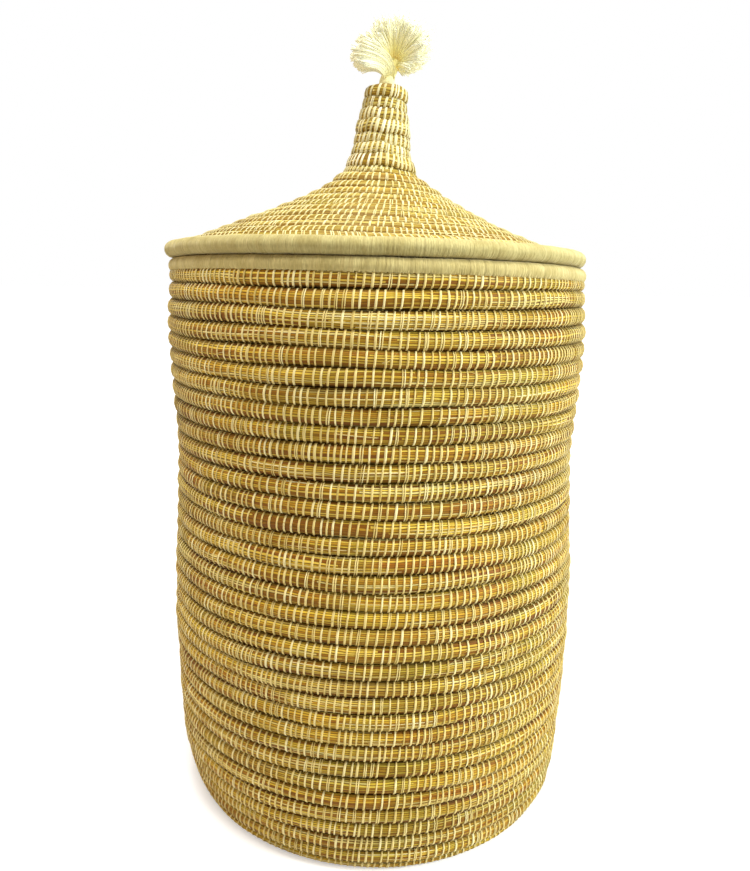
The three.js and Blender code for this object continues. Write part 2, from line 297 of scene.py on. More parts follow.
@dataclass(frozen=True)
class Crest:
    """Crest line of a coiled shell at some places.

    Attributes:
        radius: Distance from the axis.
        height: Height above the floor.
        out: Outward part of the direction that the coils face.
        up: Upward part of that direction.
        shift: How far the axis has moved to the right.
    """

    radius: Array
    height: Array
    out: Array
    up: Array
    shift: Array


@dataclass(frozen=True)
class CoilLine:
    """Line from the first coil of a shell to its last.

    Attributes:
        turns: Turns of the rope.
        thickness: Thickness of the rope across the shell.
    """

    turns: float
    thickness: float

    def length(self) -> float:
        """Length of the line across its coils."""
        raise NotImplementedError

    def crest(self, turn: Array) -> Crest:
        """Crest line at places counted in turns."""
        raise NotImplementedError

    @property
    def pitch(self) -> float:
        """Width of one coil."""
        return self.length() / self.turns


@dataclass(frozen=True)
class BaseLine(CoilLine):
    """Flat underside, from the middle out.

    Attributes:
        inner: Radius that its first coil starts at.
        outer: Radius that its last coil ends at.
    """

    inner: float = 0.4 * MM
    outer: float = 179.5 * MM

    def length(self) -> float:
        """Length of the line across its coils."""
        return self.outer - self.inner

    def crest(self, turn: Array) -> Crest:
        """Crest line at places counted in turns."""
        flat = np.zeros_like(turn)
        return Crest(self.inner + turn * self.pitch, flat, flat, flat - 1, flat)


@dataclass(frozen=True)
class WallLine(CoilLine):
    """Wall, which swells at the belly, draws in at the waist and tucks in at the foot.

    Attributes:
        bottom: Height of its lower edge.
        top: Height of its upper edge.
        stations: Height and radius at the foot, belly, waist, shoulder and mouth.
        tuck: How far the foot draws in.
        tuck_height: Height that the tuck starts at.
    """

    bottom: float = 0.3 * MM
    top: float = 520 * MM
    stations: tuple = ((0, 0.2005), (0.19, 0.2045), (0.35, 0.1975), (0.455, 0.2025), (0.519, 0.2005))
    tuck: float = 11.5 * MM
    tuck_height: float = 98 * MM

    def length(self) -> float:
        """Length of the line across its coils."""
        return self.top - self.bottom

    def crest(self, turn: Array) -> Crest:
        """Crest line at places counted in turns.

        Args:
            turn: The places.

        Returns:
            The crest line there.
        """
        height = self.bottom + turn * self.pitch
        radius = np.full_like(height, self.stations[0][1])
        for (low, narrow), (high, wide) in zip(self.stations, self.stations[1:]):
            radius += (wide - narrow) * smoothstep(height, low, high)
        below = np.clip(1 - height / self.tuck_height, 0, 1)
        radius -= self.tuck * (1 - np.sqrt(1 - below**2))
        flat = np.zeros_like(height)
        return Crest(radius, height, flat + 1, flat, flat)


@dataclass(frozen=True)
class ConeLine(CoilLine):
    """Hollow cone of the lid, which steepens towards the neck and isn't quite even.

    Attributes:
        foot: Radius and height of its outer edge.
        rise: Height of its upper edge above the outer one.
        top_radius: Radius of its upper edge.
        foot_slope: Slope at the outer edge.
        top_slope: Slope at the upper edge.
        sag: How far right its lower coils lie of the middle, less than 0 for left.
        top_shift: How far right its upper edge lies.
    """

    foot: tuple[float, float] = (186.886 * MM, 542.172 * MM)
    rise: float = 77 * MM
    top_radius: float = 33 * MM
    foot_slope: float = 0.38
    top_slope: float = 1.3
    sag: float = -6.5 * MM
    top_shift: float = 1.5 * MM

    SAMPLES = 401
    UPPER = (0.3, 0.85)  # shares of the line between which it shifts from its sag to its top

    def _table(self) -> tuple[Array, Array, Array]:
        """Measures the bent line.

        Returns:
            Lengths, points and directions along it.
        """
        foot = np.array(self.foot)
        top = np.array((self.top_radius, self.foot[1] + self.rise))
        across = foot[1] + self.foot_slope * foot[0] - top[1] - self.top_slope * top[0]
        bend_radius = across / (self.foot_slope - self.top_slope)
        bend_height = foot[1] + self.foot_slope * (foot[0] - bend_radius)
        bend = np.array((bend_radius, bend_height))
        points, directions = bent_line(np.linspace(0, 1, self.SAMPLES), foot, bend, top)
        steps = np.linalg.norm(np.diff(points, axis=0), axis=1)
        return np.concatenate(([0.0], np.cumsum(steps))), points, directions

    def length(self) -> float:
        """Length of the line across its coils."""
        return float(self._table()[0][-1])

    def crest(self, turn: Array) -> Crest:
        """Crest line at places counted in turns.

        Args:
            turn: The places.

        Returns:
            The crest line there.
        """
        lengths, points, directions = self._table()
        place = turn * lengths[-1] / self.turns
        inside = np.clip(place, 0, lengths[-1])
        radius, height = (np.interp(inside, lengths, points[:, axis]) for axis in (0, 1))
        across, along = (np.interp(inside, lengths, directions[:, axis]) for axis in (0, 1))
        radius += (place - inside) * across
        height += (place - inside) * along
        share = place / lengths[-1]
        upper = smoothstep(share, *self.UPPER)
        shift = self.sag * smoothstep(share, 0.0, 0.14) * (1 - upper) + self.top_shift * upper
        return Crest(radius, height, along, -across, shift)


@dataclass(frozen=True)
class TubeLine(CoilLine):
    """Upright tube of coils, such as the neck or the ring under the lid.

    Attributes:
        bottom: Height of its lower edge.
        top: Height of its upper edge.
        foot_radius: Radius at its lower edge.
        top_radius: Radius at its upper edge.
        lean: How much further right its upper edge lies than its lower one.
        aside: How far right its lower edge lies.
        flare: How much further its foot spreads.
    """

    bottom: float = 0.0
    top: float = 0.1
    foot_radius: float = 0.03
    top_radius: float = 0.03
    lean: float = 0.0
    aside: float = 0.0
    flare: float = 0.0

    def length(self) -> float:
        """Length of the line across its coils."""
        return self.top - self.bottom

    def crest(self, turn: Array) -> Crest:
        """Crest line at places counted in turns.

        Args:
            turn: The places.

        Returns:
            The crest line there.
        """
        share = turn / self.turns
        radius = self.foot_radius + (self.top_radius - self.foot_radius) * share
        radius = radius + self.flare * np.clip(1 - share, 0, 1) ** 4
        height = self.bottom + self.length() * share
        flat = np.zeros_like(share)
        return Crest(radius, height, flat + 1, flat, self.aside + self.lean * share)


# Rope


@dataclass(eq=False)
class Rope:
    """A rope of stalks, coiled along a line and bound to the coil before it.

    Attributes:
        line: Line that it is coiled along.
        seed: Seed of its wander.
        steps: Steps round one turn of the rope's mesh.
        stitch_gap: From one binding strip to the next.
        stitch_width: Width of a binding strip.
        slant: How far right the top of a strip stands of its foot.
        rear_climb: How much faster the coils climb at the back than on average.
        tilt: How much lower the last coil ends on the right than on the left, in turns.
        dent: How far the foot is pressed in at the front left.
        wobble: How far the rope swells and sinks.
        sway: How far the coils wander across the shell.
        squareness: 2 for an oval section, more for a squarer one.
        overlap: How far the section reaches past the edge of its coil.
        stalk_depth: How far single stalks stand out of the rope.
    """

    line: CoilLine
    seed: int
    steps: int = 84
    stitch_gap: float = 6.0 * MM
    stitch_width: float = 2.35 * MM
    slant: float = 2.0 * MM
    rear_climb: float = 0.0
    tilt: float = 0.0
    dent: float = 0.0
    wobble: float = 0.5 * MM
    sway: float = 1.1 * MM
    squareness: float = 2.1
    overlap: float = 0.25 * MM
    stalk_depth: float = 0.42 * MM
    _winds: Array = field(init=False, repr=False)
    _lengths: Array = field(init=False, repr=False)

    OUTER_ROWS = 22  # faces across the crest
    INNER_ROWS = 12  # faces across the rest of the section
    OUTER_ARC = 1.66  # half of the arc that the outer rows take, in radians
    STRIP_ARC = 1.47  # half of the arc that a strip takes, in radians
    BRIDGE = 0.34  # how far a strip reaches over the coil before, in halves of its length
    UNEVEN_GAP = 0.14  # spread of the gaps between strips, of their widths and of their slants
    UNEVEN_WIDTH = 0.12
    UNEVEN_SLANT = 0.28
    SPLIT_SHARE = 0.13  # share of the strips that are split in two
    SPLIT_WIDTH = 0.6  # width of each half of such a strip
    THINNEST = 0.12  # size of the rope below which it has no strips
    TAPER = 0.4  # power of its size that its thickness goes by at its ends
    DENT_AT = 0.9  # angle of the dent, left of the front
    DENT_TOP = 0.07  # height that the dent reaches
    SAMPLES_PER_TURN = 96

    def __post_init__(self) -> None:
        """Measures the rope's length at each place on it."""
        span = self.line.turns + 2
        winds = np.linspace(0, span, int(self.SAMPLES_PER_TURN * span))
        low, high = self.band_at(winds)
        self._winds = winds[high - low > 1e-4]
        low, high = self.band_at(self._winds)
        crest = self.line.crest((low + high) / 2)
        middle = np.maximum(crest.radius - crest.out * self.line.thickness / 2, 2 * MM)
        steps = TURN * (middle[1:] + middle[:-1]) / 2 * np.diff(self._winds)
        self._lengths = np.concatenate(([0.0], np.cumsum(steps)))

    @property
    def length(self) -> float:
        """Length of the rope."""
        return float(self._lengths[-1])

    def wind_at(self, length: Array) -> Array:
        """Place on the rope in turns, from its length."""
        return np.interp(length, self._lengths, self._winds)

    def length_at(self, wind: Array) -> Array:
        """Length of the rope up to a place in turns."""
        return np.interp(wind, self._winds, self._lengths)

    def band_at(self, wind: Array) -> tuple[Array, Array]:
        """Finds the edges of the rope.

        Args:
            wind: Places along the rope, in turns.

        Returns:
            Its lower and upper edge there, in turns up the line.
        """
        climb = self.rear_climb * np.sin(TURN * wind) / TURN
        top = self.line.turns - self.tilt * (1 + np.sin(TURN * wind)) / 2
        return np.clip(wind + climb - 1, 0, top), np.clip(wind + climb, 0, top)

    def size_at(self, wind: Array) -> Array:
        """Share of its full width that the rope has, as it tapers at both ends."""
        low, high = self.band_at(wind)
        return high - low

    def place(self, wind: Array, angle: Array, lift: Array) -> tuple[Array, Array]:
        """Places on or above the surface of the rope.

        Args:
            wind: Place along the rope, in turns.
            angle: Place round its section, 0 on the crest and more towards the next coil.
            lift: Distance off its surface.

        Returns:
            The places, and how near each is to the crest of the coil.
        """
        line, power_in = self.line, 2 / self.squareness
        low, high = self.band_at(wind)
        size = high - low
        half_thick = line.thickness / 2 * size**self.TAPER
        half_wide = line.pitch / 2 * size + self.overlap * np.sqrt(size)
        side = power(np.cos(angle), power_in)
        rise = power(np.sin(angle), power_in)
        normal_out = power(side, self.squareness - 1) / (half_thick + 1e-5)
        normal_rise = power(rise, self.squareness - 1) / (half_wide + 1e-5)
        normal = np.hypot(normal_out, normal_rise) + 1e-9
        length = self.length_at(wind)
        swell = self.wobble * Drift(self.seed, 0.03, 0.5).at(length) * size
        # Out of the shell and across it, then along its crest line
        proud = half_thick * side + lift * normal_out / normal + swell
        across = half_wide * rise + lift * normal_rise / normal
        middle = (low + high) / 2
        turning = math.pi - TURN * wind
        ends = np.clip(np.minimum(middle, line.turns - middle) / 1.5, 0, 1)
        across += self.sway * ends * self._sway_at(turning, middle)
        crest = line.crest(middle + across / line.pitch)
        depth = line.thickness / 2 - proud
        reach = crest.radius - depth * crest.out
        if self.dent:
            aside = (turning + self.DENT_AT + math.pi) % TURN - math.pi
            low_down = 1 - smoothstep(crest.height, 0, self.DENT_TOP)
            reach -= self.dent * np.exp(-(aside**2) / 0.8) * low_down
        points = round_axis(reach, turning, crest.height - depth * crest.up, crest.shift)
        return points, np.clip(side * np.sign(np.cos(angle)), 0, 1)

    def _sway_at(self, turning: Array, turn: Array) -> Array:
        """Wander across the shell, which coils that touch share.

        Args:
            turning: Angles round the shell.
            turn: Places up the line, in turns.

        Returns:
            The wander there, between about -1 and 1.
        """
        rng = seeded(self.seed + 1)
        total = np.zeros_like(turn)
        for waves_round, waves_up in ((1, 0.11), (2, 0.07), (3, 0.19), (5, 0.13), (7, 0.23)):
            phase = rng.uniform(0, TURN)
            total += np.sin(waves_round * turning + waves_up * TURN * turn + phase)
        return total / 3

    def _ridges(self, row: Array, length: Array) -> Array:
        """Height of the stalks' ridges, which run along the rope and come and go.

        Args:
            row: Rows of faces round the section.
            length: Lengths along the rope.

        Returns:
            The heights.
        """
        rows = self.OUTER_ROWS + self.INNER_ROWS
        rng = seeded(self.seed + 2)
        rates = rng.uniform(9, 60, (rows, 3))
        phases = rng.uniform(0, TURN, (rows, 3))
        row = row % rows
        waves = np.sin(rates[row] * length[:, None] + phases[row]).sum(axis=1) / 2
        return self.stalk_depth * (np.where(row % 2 == 0, 0.5, -0.5) + 0.6 * waves)

    def body(self) -> Piece:
        """Builds the rope as one closed tube.

        Returns:
            The rope.
        """
        rows = self.OUTER_ROWS + self.INNER_ROWS
        shape = bmesh.new()
        first, last = self._winds[0], self._winds[-1]
        sections = int(self.steps * (last - first))
        bmesh.ops.create_grid(shape, x_segments=sections, y_segments=rows, size=1.0)

        def lay(points: Array) -> Laid:
            """Lays the tube along the rope.

            Args:
                points: Points of the flat grid.

            Returns:
                Where they lie, and what the finish reads there.
            """
            wind = first + (points[:, 0] + 1) / 2 * (last - first)
            share = self.OUTER_ROWS / rows
            stations = (-1, -share, share, 1)
            arcs = (-math.pi, -self.OUTER_ARC, self.OUTER_ARC, math.pi)
            angle = np.interp(points[:, 1], stations, arcs)
            row = np.rint((points[:, 1] + 1) / 2 * rows).astype(int)
            length = self.length_at(wind)
            lift = self._ridges(row, length) * self.size_at(wind)
            places, crest = self.place(wind, angle, lift)
            is_end = np.abs(points[:, 0]) > 1 - 1e-6
            for end in (points[:, 0] < 0, points[:, 0] > 0):
                places[is_end & end] = places[is_end & end].mean(axis=0)
            girth = (self.line.pitch + self.line.thickness) / 2 * math.pi
            grain = np.column_stack((length, angle / TURN * girth))
            return Laid(places, grain, crest, np.zeros_like(wind))

        return finished(shape, lay, weld=True)

    def stitches(self, face: Face, first: float = 0.0, last: float = 1.0) -> Piece:
        """Builds the binding strips on one side of a stretch of the rope.

        Args:
            face: Side of the shell.
            first: Where the stretch starts, as a share of the rope.
            last: Where it ends.

        Returns:
            The strips, as one piece.
        """
        rng = seeded(self.seed + 3)
        count = int(self.length / self.stitch_gap)
        gaps = rng.lognormal(0, self.UNEVEN_GAP, count)
        gaps *= 1 + 0.12 * Drift(self.seed + 4, 0.05, 0.6).at(np.arange(count) * self.stitch_gap)
        at = np.cumsum(gaps) / gaps.sum() * self.length
        width = self.stitch_width * rng.lognormal(0, self.UNEVEN_WIDTH, count)
        slant = self.slant * (1 + self.UNEVEN_SLANT * rng.standard_normal(count))
        slant += 0.5 * MM * Drift(self.seed + 5, 0.08, 1.5).at(at)
        # A split strip is two narrow ones, a little apart
        is_split = rng.random(count) < self.SPLIT_SHARE
        spread = np.where(is_split, 0.75 * MM * rng.uniform(0.8, 1.3, count), 0)
        at = np.concatenate((at - spread, at[is_split] + spread[is_split]))
        slant = np.concatenate((slant, slant[is_split] + rng.normal(0, 0.5 * MM, is_split.sum())))
        width = np.where(is_split, self.SPLIT_WIDTH, 1) * width
        width = np.concatenate((width, width[is_split]))
        wanted = (at >= first * self.length) & (at < last * self.length)
        wanted &= self.size_at(self.wind_at(at)) > self.THINNEST
        at, slant, width = at[wanted], slant[wanted], width[wanted]
        tone = rng.random(len(at))
        thickness = rng.uniform(0.45, 0.65, len(at)) * MM
        is_outer = face is Face.OUTER
        shape = repeated(bar(6 if is_outer else 2), len(at))

        def lay(points: Array) -> Laid:
            """Lays the strips over the rope, the outer ones with a bridge to the coil before.

            Args:
                points: Points of the row of bars.

            Returns:
                Where they lie, and what the finish reads there.
            """
            copy, local = split_copies(points)
            along = local[:, 2] * 2
            if is_outer:
                along = np.interp(along, (-1, 1), (-1 - self.BRIDGE, 1))
            # The bar's four corners point along its axes, so it is turned to lie flat
            flat = (local[:, 0] - local[:, 1]) / math.sqrt(2) * 2
            high = (local[:, 0] + local[:, 1]) / math.sqrt(2) * 2
            girth = np.maximum(np.gradient(self._lengths, self._winds), 0.01)
            per_turn = np.interp(self.wind_at(at), self._winds, girth)
            sideways = flat * width[copy] / 2 * (1 - 0.12 * along**2)
            sideways -= slant[copy] * along / 2 * (1 if is_outer else -1)
            wind = self.wind_at(at)[copy] + sideways / per_turn[copy]
            # Both ends dip into a groove, and the start of the bridge stands over the first one
            on_rope = np.clip(along, -1, 1)
            dip = np.clip(on_rope - 0.75, 0, 1) * 3.2 * MM
            dip += np.clip(-1 - self.BRIDGE * 0.4 - along, 0, 1) * 5 * MM
            bridge = np.exp(-(((along + 1) / 0.16) ** 2)) * 1.1 * MM if is_outer else 0.0
            lift = 0.12 * MM + (high + 1) / 2 * thickness[copy] - dip + bridge
            places, _ = self.place(wind, face.value + on_rope * self.STRIP_ARC, lift)
            past = along < -1
            if is_outer and past.any():
                below = self.STRIP_ARC + (along[past] + 1) * 1.6
                places[past] = self.place(wind[past] - 1, below, lift[past])[0]
            length = along * self.line.pitch / 2 + tone[copy] * 3
            grain = np.column_stack((length, flat * width[copy] / 2))
            # crest falls towards both ends, where the strip finish paints shade
            return Laid(places, grain, 1 - np.abs(along) ** 3 * 0.8, tone[copy])

        return finished(shape, lay)

    def strands(self, count: int) -> Piece:
        """Builds pale straws that run along the coils under the binding.

        Args:
            count: How many straws there are.

        Returns:
            The straws, as one piece.
        """
        rng = seeded(self.seed + 6)
        at = rng.uniform(0.02, 0.98, count) * self.length
        reach = rng.lognormal(math.log(0.07), 0.5, count)
        angle = rng.normal(-0.1, 0.5, count)
        lean = rng.normal(0, 0.1, count)
        radius = rng.uniform(0.3, 0.5, count) * MM
        tone = rng.random(count)
        shape = repeated(bar(13, 5), count)

        def lay(points: Array) -> Laid:
            """Lays the straws on the rope.

            Args:
                points: Points of the row of bars.

            Returns:
                Where they lie, and what the finish reads there.
            """
            copy, local = split_copies(points)
            along = local[:, 2]
            length = at[copy] + along * reach[copy]
            fade = 1 - (2 * np.abs(along)) ** 6
            across = local[:, 0] * 2 * radius[copy] * fade
            lift = (local[:, 1] * 1.2 * fade - 0.1) * radius[copy] - (1 - fade) * 0.8 * MM
            turn_by = across / (self.line.thickness / 2) + lean[copy] * along
            places, _ = self.place(self.wind_at(length), angle[copy] + turn_by, lift)
            grain = np.column_stack((length, across + tone[copy]))
            return Laid(places, grain, 0.8 * np.ones_like(along), tone[copy])

        return finished(shape, lay)

    def fibres(self, count: int) -> Piece:
        """Builds thin loose ends that stand off the coils.

        Args:
            count: How many ends there are.

        Returns:
            The loose ends, as one piece.
        """
        rng = seeded(self.seed + 7)
        at = rng.uniform(0.02, 0.98, count) * self.length
        reach = rng.uniform(4, 16, count) * MM * rng.choice((-1, 1), count)
        angle = rng.uniform(-1.1, 1.1, count)
        stand = rng.uniform(0.6, 4.0, count) * MM
        climb = rng.normal(0, 5, count) * MM
        tone = rng.random(count)
        shape = repeated(bar(5, 3), count)

        def lay(points: Array) -> Laid:
            """Lays the loose ends, which lift off the rope.

            Args:
                points: Points of the row of bars.

            Returns:
                Where they lie, and what the finish reads there.
            """
            copy, local = split_copies(points)
            along = local[:, 2] + 0.5
            radius = 0.32 * MM * (1 - 0.75 * along)
            length = at[copy] + along * reach[copy]
            turn_by = (local[:, 0] * radius + climb[copy] * along**2) / (self.line.thickness / 2)
            lift = local[:, 1] * radius + 0.3 * MM + stand[copy] * along**1.8
            places, _ = self.place(self.wind_at(length), angle[copy] + turn_by, lift)
            grain = np.column_stack((length, local[:, 0] * radius + tone[copy]))
            return Laid(places, grain, np.ones_like(along), tone[copy])

        return finished(shape, lay)


# Yarn wrapped over a ring


@dataclass(frozen=True)
class YarnRing:
    """Yarn wound closely over a ring.

    Attributes:
        radius: Radius of the ring to the middle of its section.
        height: Height of the middle of the section.
        size: Radius of the section.
        seed: Seed of its wander.
        flat_below: Height that the threads end at, a little unevenly, or None where it is round.
        thread: Width of one thread of the winding.
        lumps: How far the winding swells and sinks.
        squash: Height of the section as a share of its width.
        rows: Faces round the section.
    """

    radius: float
    height: float
    size: float
    seed: int
    flat_below: float | None = None
    thread: float = 0.95 * MM
    lumps: float = 0.6 * MM
    squash: float = 1.0
    rows: int = 15

    DEEPEST = 0.26 * MM  # of the grooves between threads
    JITTER = 0.22  # how far a thread lies out of its place, as a share of half its width
    DROP = 0.45 * MM  # mean unevenness of the edge that the threads end at

    def build(self) -> Piece:
        """Builds the winding as one closed ring, with a ridge for each thread.

        Returns:
            The winding.
        """
        columns = 2 * int(TURN * self.radius / self.thread)  # a ridge and a groove for each thread
        shape = bmesh.new()
        bmesh.ops.create_grid(shape, x_segments=columns, y_segments=self.rows, size=1.0)
        rng = seeded(self.seed)
        jitter = rng.normal(0, self.JITTER, columns + 1)
        depth = rng.uniform(0.06 * MM, self.DEEPEST, columns + 1)
        drop = rng.exponential(self.DROP, columns + 1)
        jitter[-1], depth[-1], drop[-1] = jitter[0], depth[0], drop[0]

        def lay(points: Array) -> Laid:
            """Lays the winding round the ring.

            Args:
                points: Points of the flat grid.

            Returns:
                Where they lie, and what the finish reads there.
            """
            column = np.rint((points[:, 0] + 1) / 2 * columns).astype(int)
            angle = points[:, 1] * math.pi
            lean = 0.35 * self.thread * np.sin(angle)
            turning = TURN * (column + jitter[column]) / columns + lean / self.radius
            ridge = np.where(column % 2 == 0, 1, -1) * depth[column]
            size = self.size + self.lumps * self._lump(turning, angle) + ridge
            reach = self.radius + size * np.cos(angle)
            height = self.height + size * self.squash * np.sin(angle)
            if self.flat_below is not None:
                height = np.maximum(height, self.flat_below - drop[column])
            places = round_axis(reach, turning, height)
            grain = np.column_stack((turning * self.radius, angle * self.size))
            # crest is low in the grooves between threads, where the wrap finish paints shade
            crest = 0.5 + 0.5 * ridge / self.DEEPEST
            return Laid(places, grain, crest, rng.random(columns + 1)[column])

        return finished(shape, lay, weld=True)

    def _lump(self, turning: Array, angle: Array) -> Array:
        """Soft lumps of the winding, which meet where the ring closes.

        Args:
            turning: Angles round the ring.
            angle: Angles round its section.

        Returns:
            The lumps there, between about -1 and 1.
        """
        rng = seeded(self.seed + 1)
        total = np.zeros_like(turning)
        for waves_round in (3, 7, 12, 19, 31, 47, 70):
            phase, lean = rng.uniform(0, TURN), rng.choice((-1, 1))
            total += np.sin(waves_round * turning + phase + lean * angle) / waves_round**0.35
        return total / 3


# Finishes


class Shader:
    """A node tree that is being put together, for a material, a world or a group."""

    def __init__(self, tree: Tree) -> None:
        """Starts on an empty tree."""
        self.tree = tree

    @classmethod
    def of(cls, owner: bpy.types.ID) -> "Shader":
        """Starts on the emptied tree of a material or a world.

        Args:
            owner: The material or the world.

        Returns:
            The shader.
        """
        owner.use_nodes = True
        owner.node_tree.nodes.clear()
        return cls(owner.node_tree)

    def node(self, kind: str, **settings: object) -> bpy.types.Node:
        """Adds a node.

        Args:
            kind: Its type, without the prefix that all shader nodes share.
            settings: Properties of the node; `inputs` holds values or sockets by name.

        Returns:
            The node.
        """
        made = self.tree.nodes.new("ShaderNode" + kind)
        inputs = settings.pop("inputs", {})
        for name, value in settings.items():
            setattr(made, name, value)
        for name, value in inputs.items():
            if isinstance(value, Socket):
                self.tree.links.new(value, made.inputs[name])
            else:
                made.inputs[name].default_value = value
        return made

    def group(self, tree: Tree, **inputs: object) -> bpy.types.bpy_prop_collection:
        """Adds a shared pattern, and gives what it puts out."""
        return self.node("Group", node_tree=tree, inputs=inputs).outputs

    def grain(self) -> Socket:
        """Adds the piece's own map."""
        return self.node("UVMap", uv_map="grain").outputs["UV"]

    def attribute(self, label: str) -> Socket:
        """Adds a value that is stored on the piece's points."""
        return self.node("Attribute", attribute_name=label).outputs["Fac"]

    def place(self) -> Socket:
        """Adds the place in the row frame."""
        return self.node("TexCoord").outputs["Object"]

    def math(self, operation: str, *values: object) -> Socket:
        """Adds a sum of one, two or three values or sockets, and gives its result."""
        return self.node("Math", operation=operation, inputs=dict(enumerate(values))).outputs[0]

    def scaled(self, value: Socket, factor: float) -> Socket:
        """Adds a value times a factor."""
        return self.math("MULTIPLY", value, factor)

    def mix(self, share: object, low: object, high: object, blend: str = "MIX") -> Socket:
        """Adds a mix of two colours, and gives its result."""
        inputs = {0: share, 6: low, 7: high}
        return self.node("Mix", data_type="RGBA", blend_type=blend, inputs=inputs).outputs[2]

    def vector(self, x: object, y: object) -> Socket:
        """Adds a vector of two values or sockets."""
        return self.node("CombineXYZ", inputs={"X": x, "Y": y}).outputs[0]

    def split(self, vector: Socket) -> tuple[Socket, Socket]:
        """Adds the first two numbers of a vector."""
        outputs = self.node("SeparateXYZ", inputs={"Vector": vector}).outputs
        return outputs["X"], outputs["Y"]

    def noise(self, vector: Socket, scale: float, detail: float = 2.0) -> Socket:
        """Adds a noise texture, and gives its value."""
        inputs = {"Vector": vector, "Scale": scale, "Detail": detail}
        return self.node("TexNoise", inputs=inputs).outputs["Fac"]

    def fade(self, value: Socket, low: float, high: object, start: float, end: float) -> Socket:
        """Adds a smooth change from start, where the value is low, to end, where it is high."""
        inputs = {"Value": value, "From Min": low, "From Max": high, "To Min": start, "To Max": end}
        return self.node("MapRange", interpolation_type="SMOOTHSTEP", inputs=inputs).outputs[0]

    def ramp(self, value: Socket, stops: dict[float, tuple | float]) -> Socket:
        """Adds a colour ramp.

        Args:
            value: What it reads.
            stops: Colour at each place on the ramp, or a number for a grey.

        Returns:
            Its colour.
        """
        made = self.node("ValToRGB", inputs={"Fac": value})
        elements = made.color_ramp.elements
        while len(elements) < len(stops):
            elements.new(0.5)
        for element, (place, colour) in zip(elements, sorted(stops.items())):
            element.position = place
            element.color = colour if isinstance(colour, tuple) else (colour, colour, colour, 1)
        return made.outputs["Color"]

    def tint(self, colour: Socket, value: Socket, stops: dict[float, tuple | float]) -> Socket:
        """Adds a ramp of a value, and multiplies a colour by it."""
        return self.mix(1.0, colour, self.ramp(value, stops), "MULTIPLY")

    def patches(self, vector: Socket, scale: float, detail: float, span: tuple) -> Socket:
        """Adds soft patches of noise, which are 0 below a span of it and 1 above."""
        return self.ramp(self.noise(vector, scale, detail), {span[0]: 0.0, span[1]: 1.0})

    def underside(self, across: Socket, stops: dict[float, float]) -> Socket:
        """Adds a mask for the lower half of a round section, where painted shade goes.

        Args:
            across: Place round the section in metres, less than 0 below its crest.
            stops: Value of the mask at such places.

        Returns:
            The mask.
        """
        low, high = min(stops), max(stops)
        inputs = {"Value": across, "From Min": low, "From Max": high}
        reach = self.node("MapRange", inputs=inputs).outputs["Result"]
        return self.ramp(reach, {(y - low) / (high - low): grey for y, grey in stops.items()})


def paint(*screen: int) -> tuple[float, ...]:
    """Linear colour of a screen colour of three numbers from 0 to 255."""
    shares = (number / 255 for number in screen)
    return (*(s / 12.92 if s <= 0.04045 else ((s + 0.055) / 1.055) ** 2.4 for s in shares), 1.0)


class Groups:
    """Patterns that several finishes share, each built once."""

    def __init__(self) -> None:
        """Builds the groups."""
        self.stalks = self._stalks()
        self.fibre = self._fibre()

    @staticmethod
    def _start(name: str, values: dict[str, float], results: tuple[str, ...]) -> tuple:
        """Starts a group that reads the grain.

        Args:
            name: Name of the group.
            values: First value of each number that it takes besides the grain.
            results: Numbers that it puts out.

        Returns:
            Its shader, what it is given and what it puts out.
        """
        tree = bpy.data.node_groups.new(name, "ShaderNodeTree")
        sockets = tree.interface
        sockets.new_socket("Grain", in_out="INPUT", socket_type="NodeSocketVector")
        for label, value in values.items():
            made = sockets.new_socket(label, in_out="INPUT", socket_type="NodeSocketFloat")
            made.default_value = value
        for label in results:
            sockets.new_socket(label, in_out="OUTPUT", socket_type="NodeSocketFloat")
        given, end = (tree.nodes.new("NodeGroup" + side) for side in ("Input", "Output"))
        return Shader(tree), given.outputs, end.inputs

    def _stalks(self) -> Tree:
        """Builds stalks side by side, each with a tone of its own for part of its length.

        Returns:
            The group.
        """
        results = ("Tone", "Gap", "Round")
        shader, given, end = self._start("Stalks", {"Width": 0.0017, "Length": 0.1}, results)
        along, across = shader.split(given["Grain"])
        slow = shader.vector(shader.scaled(along, 14), shader.scaled(across, 90))
        wander = shader.scaled(shader.math("SUBTRACT", shader.noise(slow, 1.0), 0.5), 3.2)
        place = shader.math("ADD", shader.math("DIVIDE", across, given["Width"]), wander)
        stalk, inside = shader.math("FLOOR", place), shader.math("FRACT", place)
        start = shader.node("TexWhiteNoise", noise_dimensions="1D", inputs={"W": stalk})
        offset = shader.scaled(start.outputs["Value"], 9.0)
        part = shader.math("ADD", shader.math("DIVIDE", along, given["Length"]), offset)
        key = shader.vector(stalk, shader.math("FLOOR", part))
        random = shader.node("TexWhiteNoise", noise_dimensions="3D", inputs={"Vector": key})
        tone = random.outputs["Value"]
        edge = shader.math("SUBTRACT", 1.0, inside)
        wide = shader.math("MULTIPLY_ADD", tone, 0.4, 0.1)
        near = shader.math("MINIMUM", inside, edge)
        gap = shader.fade(near, 0.0, wide, 1.0, 0.0)
        crown = shader.math("SQRT", shader.scaled(shader.math("MULTIPLY", inside, edge), 4.0))
        for label, result in zip(results, (tone, gap, crown)):
            shader.tree.links.new(result, end[label])
        return shader.tree

    def _fibre(self) -> Tree:
        """Builds fine streaks along the grain, round 0.5.

        Returns:
            The group.
        """
        values = {"Along": 60.0, "Across": 3000.0}
        shader, given, end = self._start("Fibre", values, ("Streak",))
        along, across = shader.split(given["Grain"])
        along = shader.math("MULTIPLY", along, given["Along"])
        across = shader.math("MULTIPLY", across, given["Across"])
        streak = shader.noise(shader.vector(along, across), 1.0, 3.0)
        shader.tree.links.new(streak, end["Streak"])
        return shader.tree


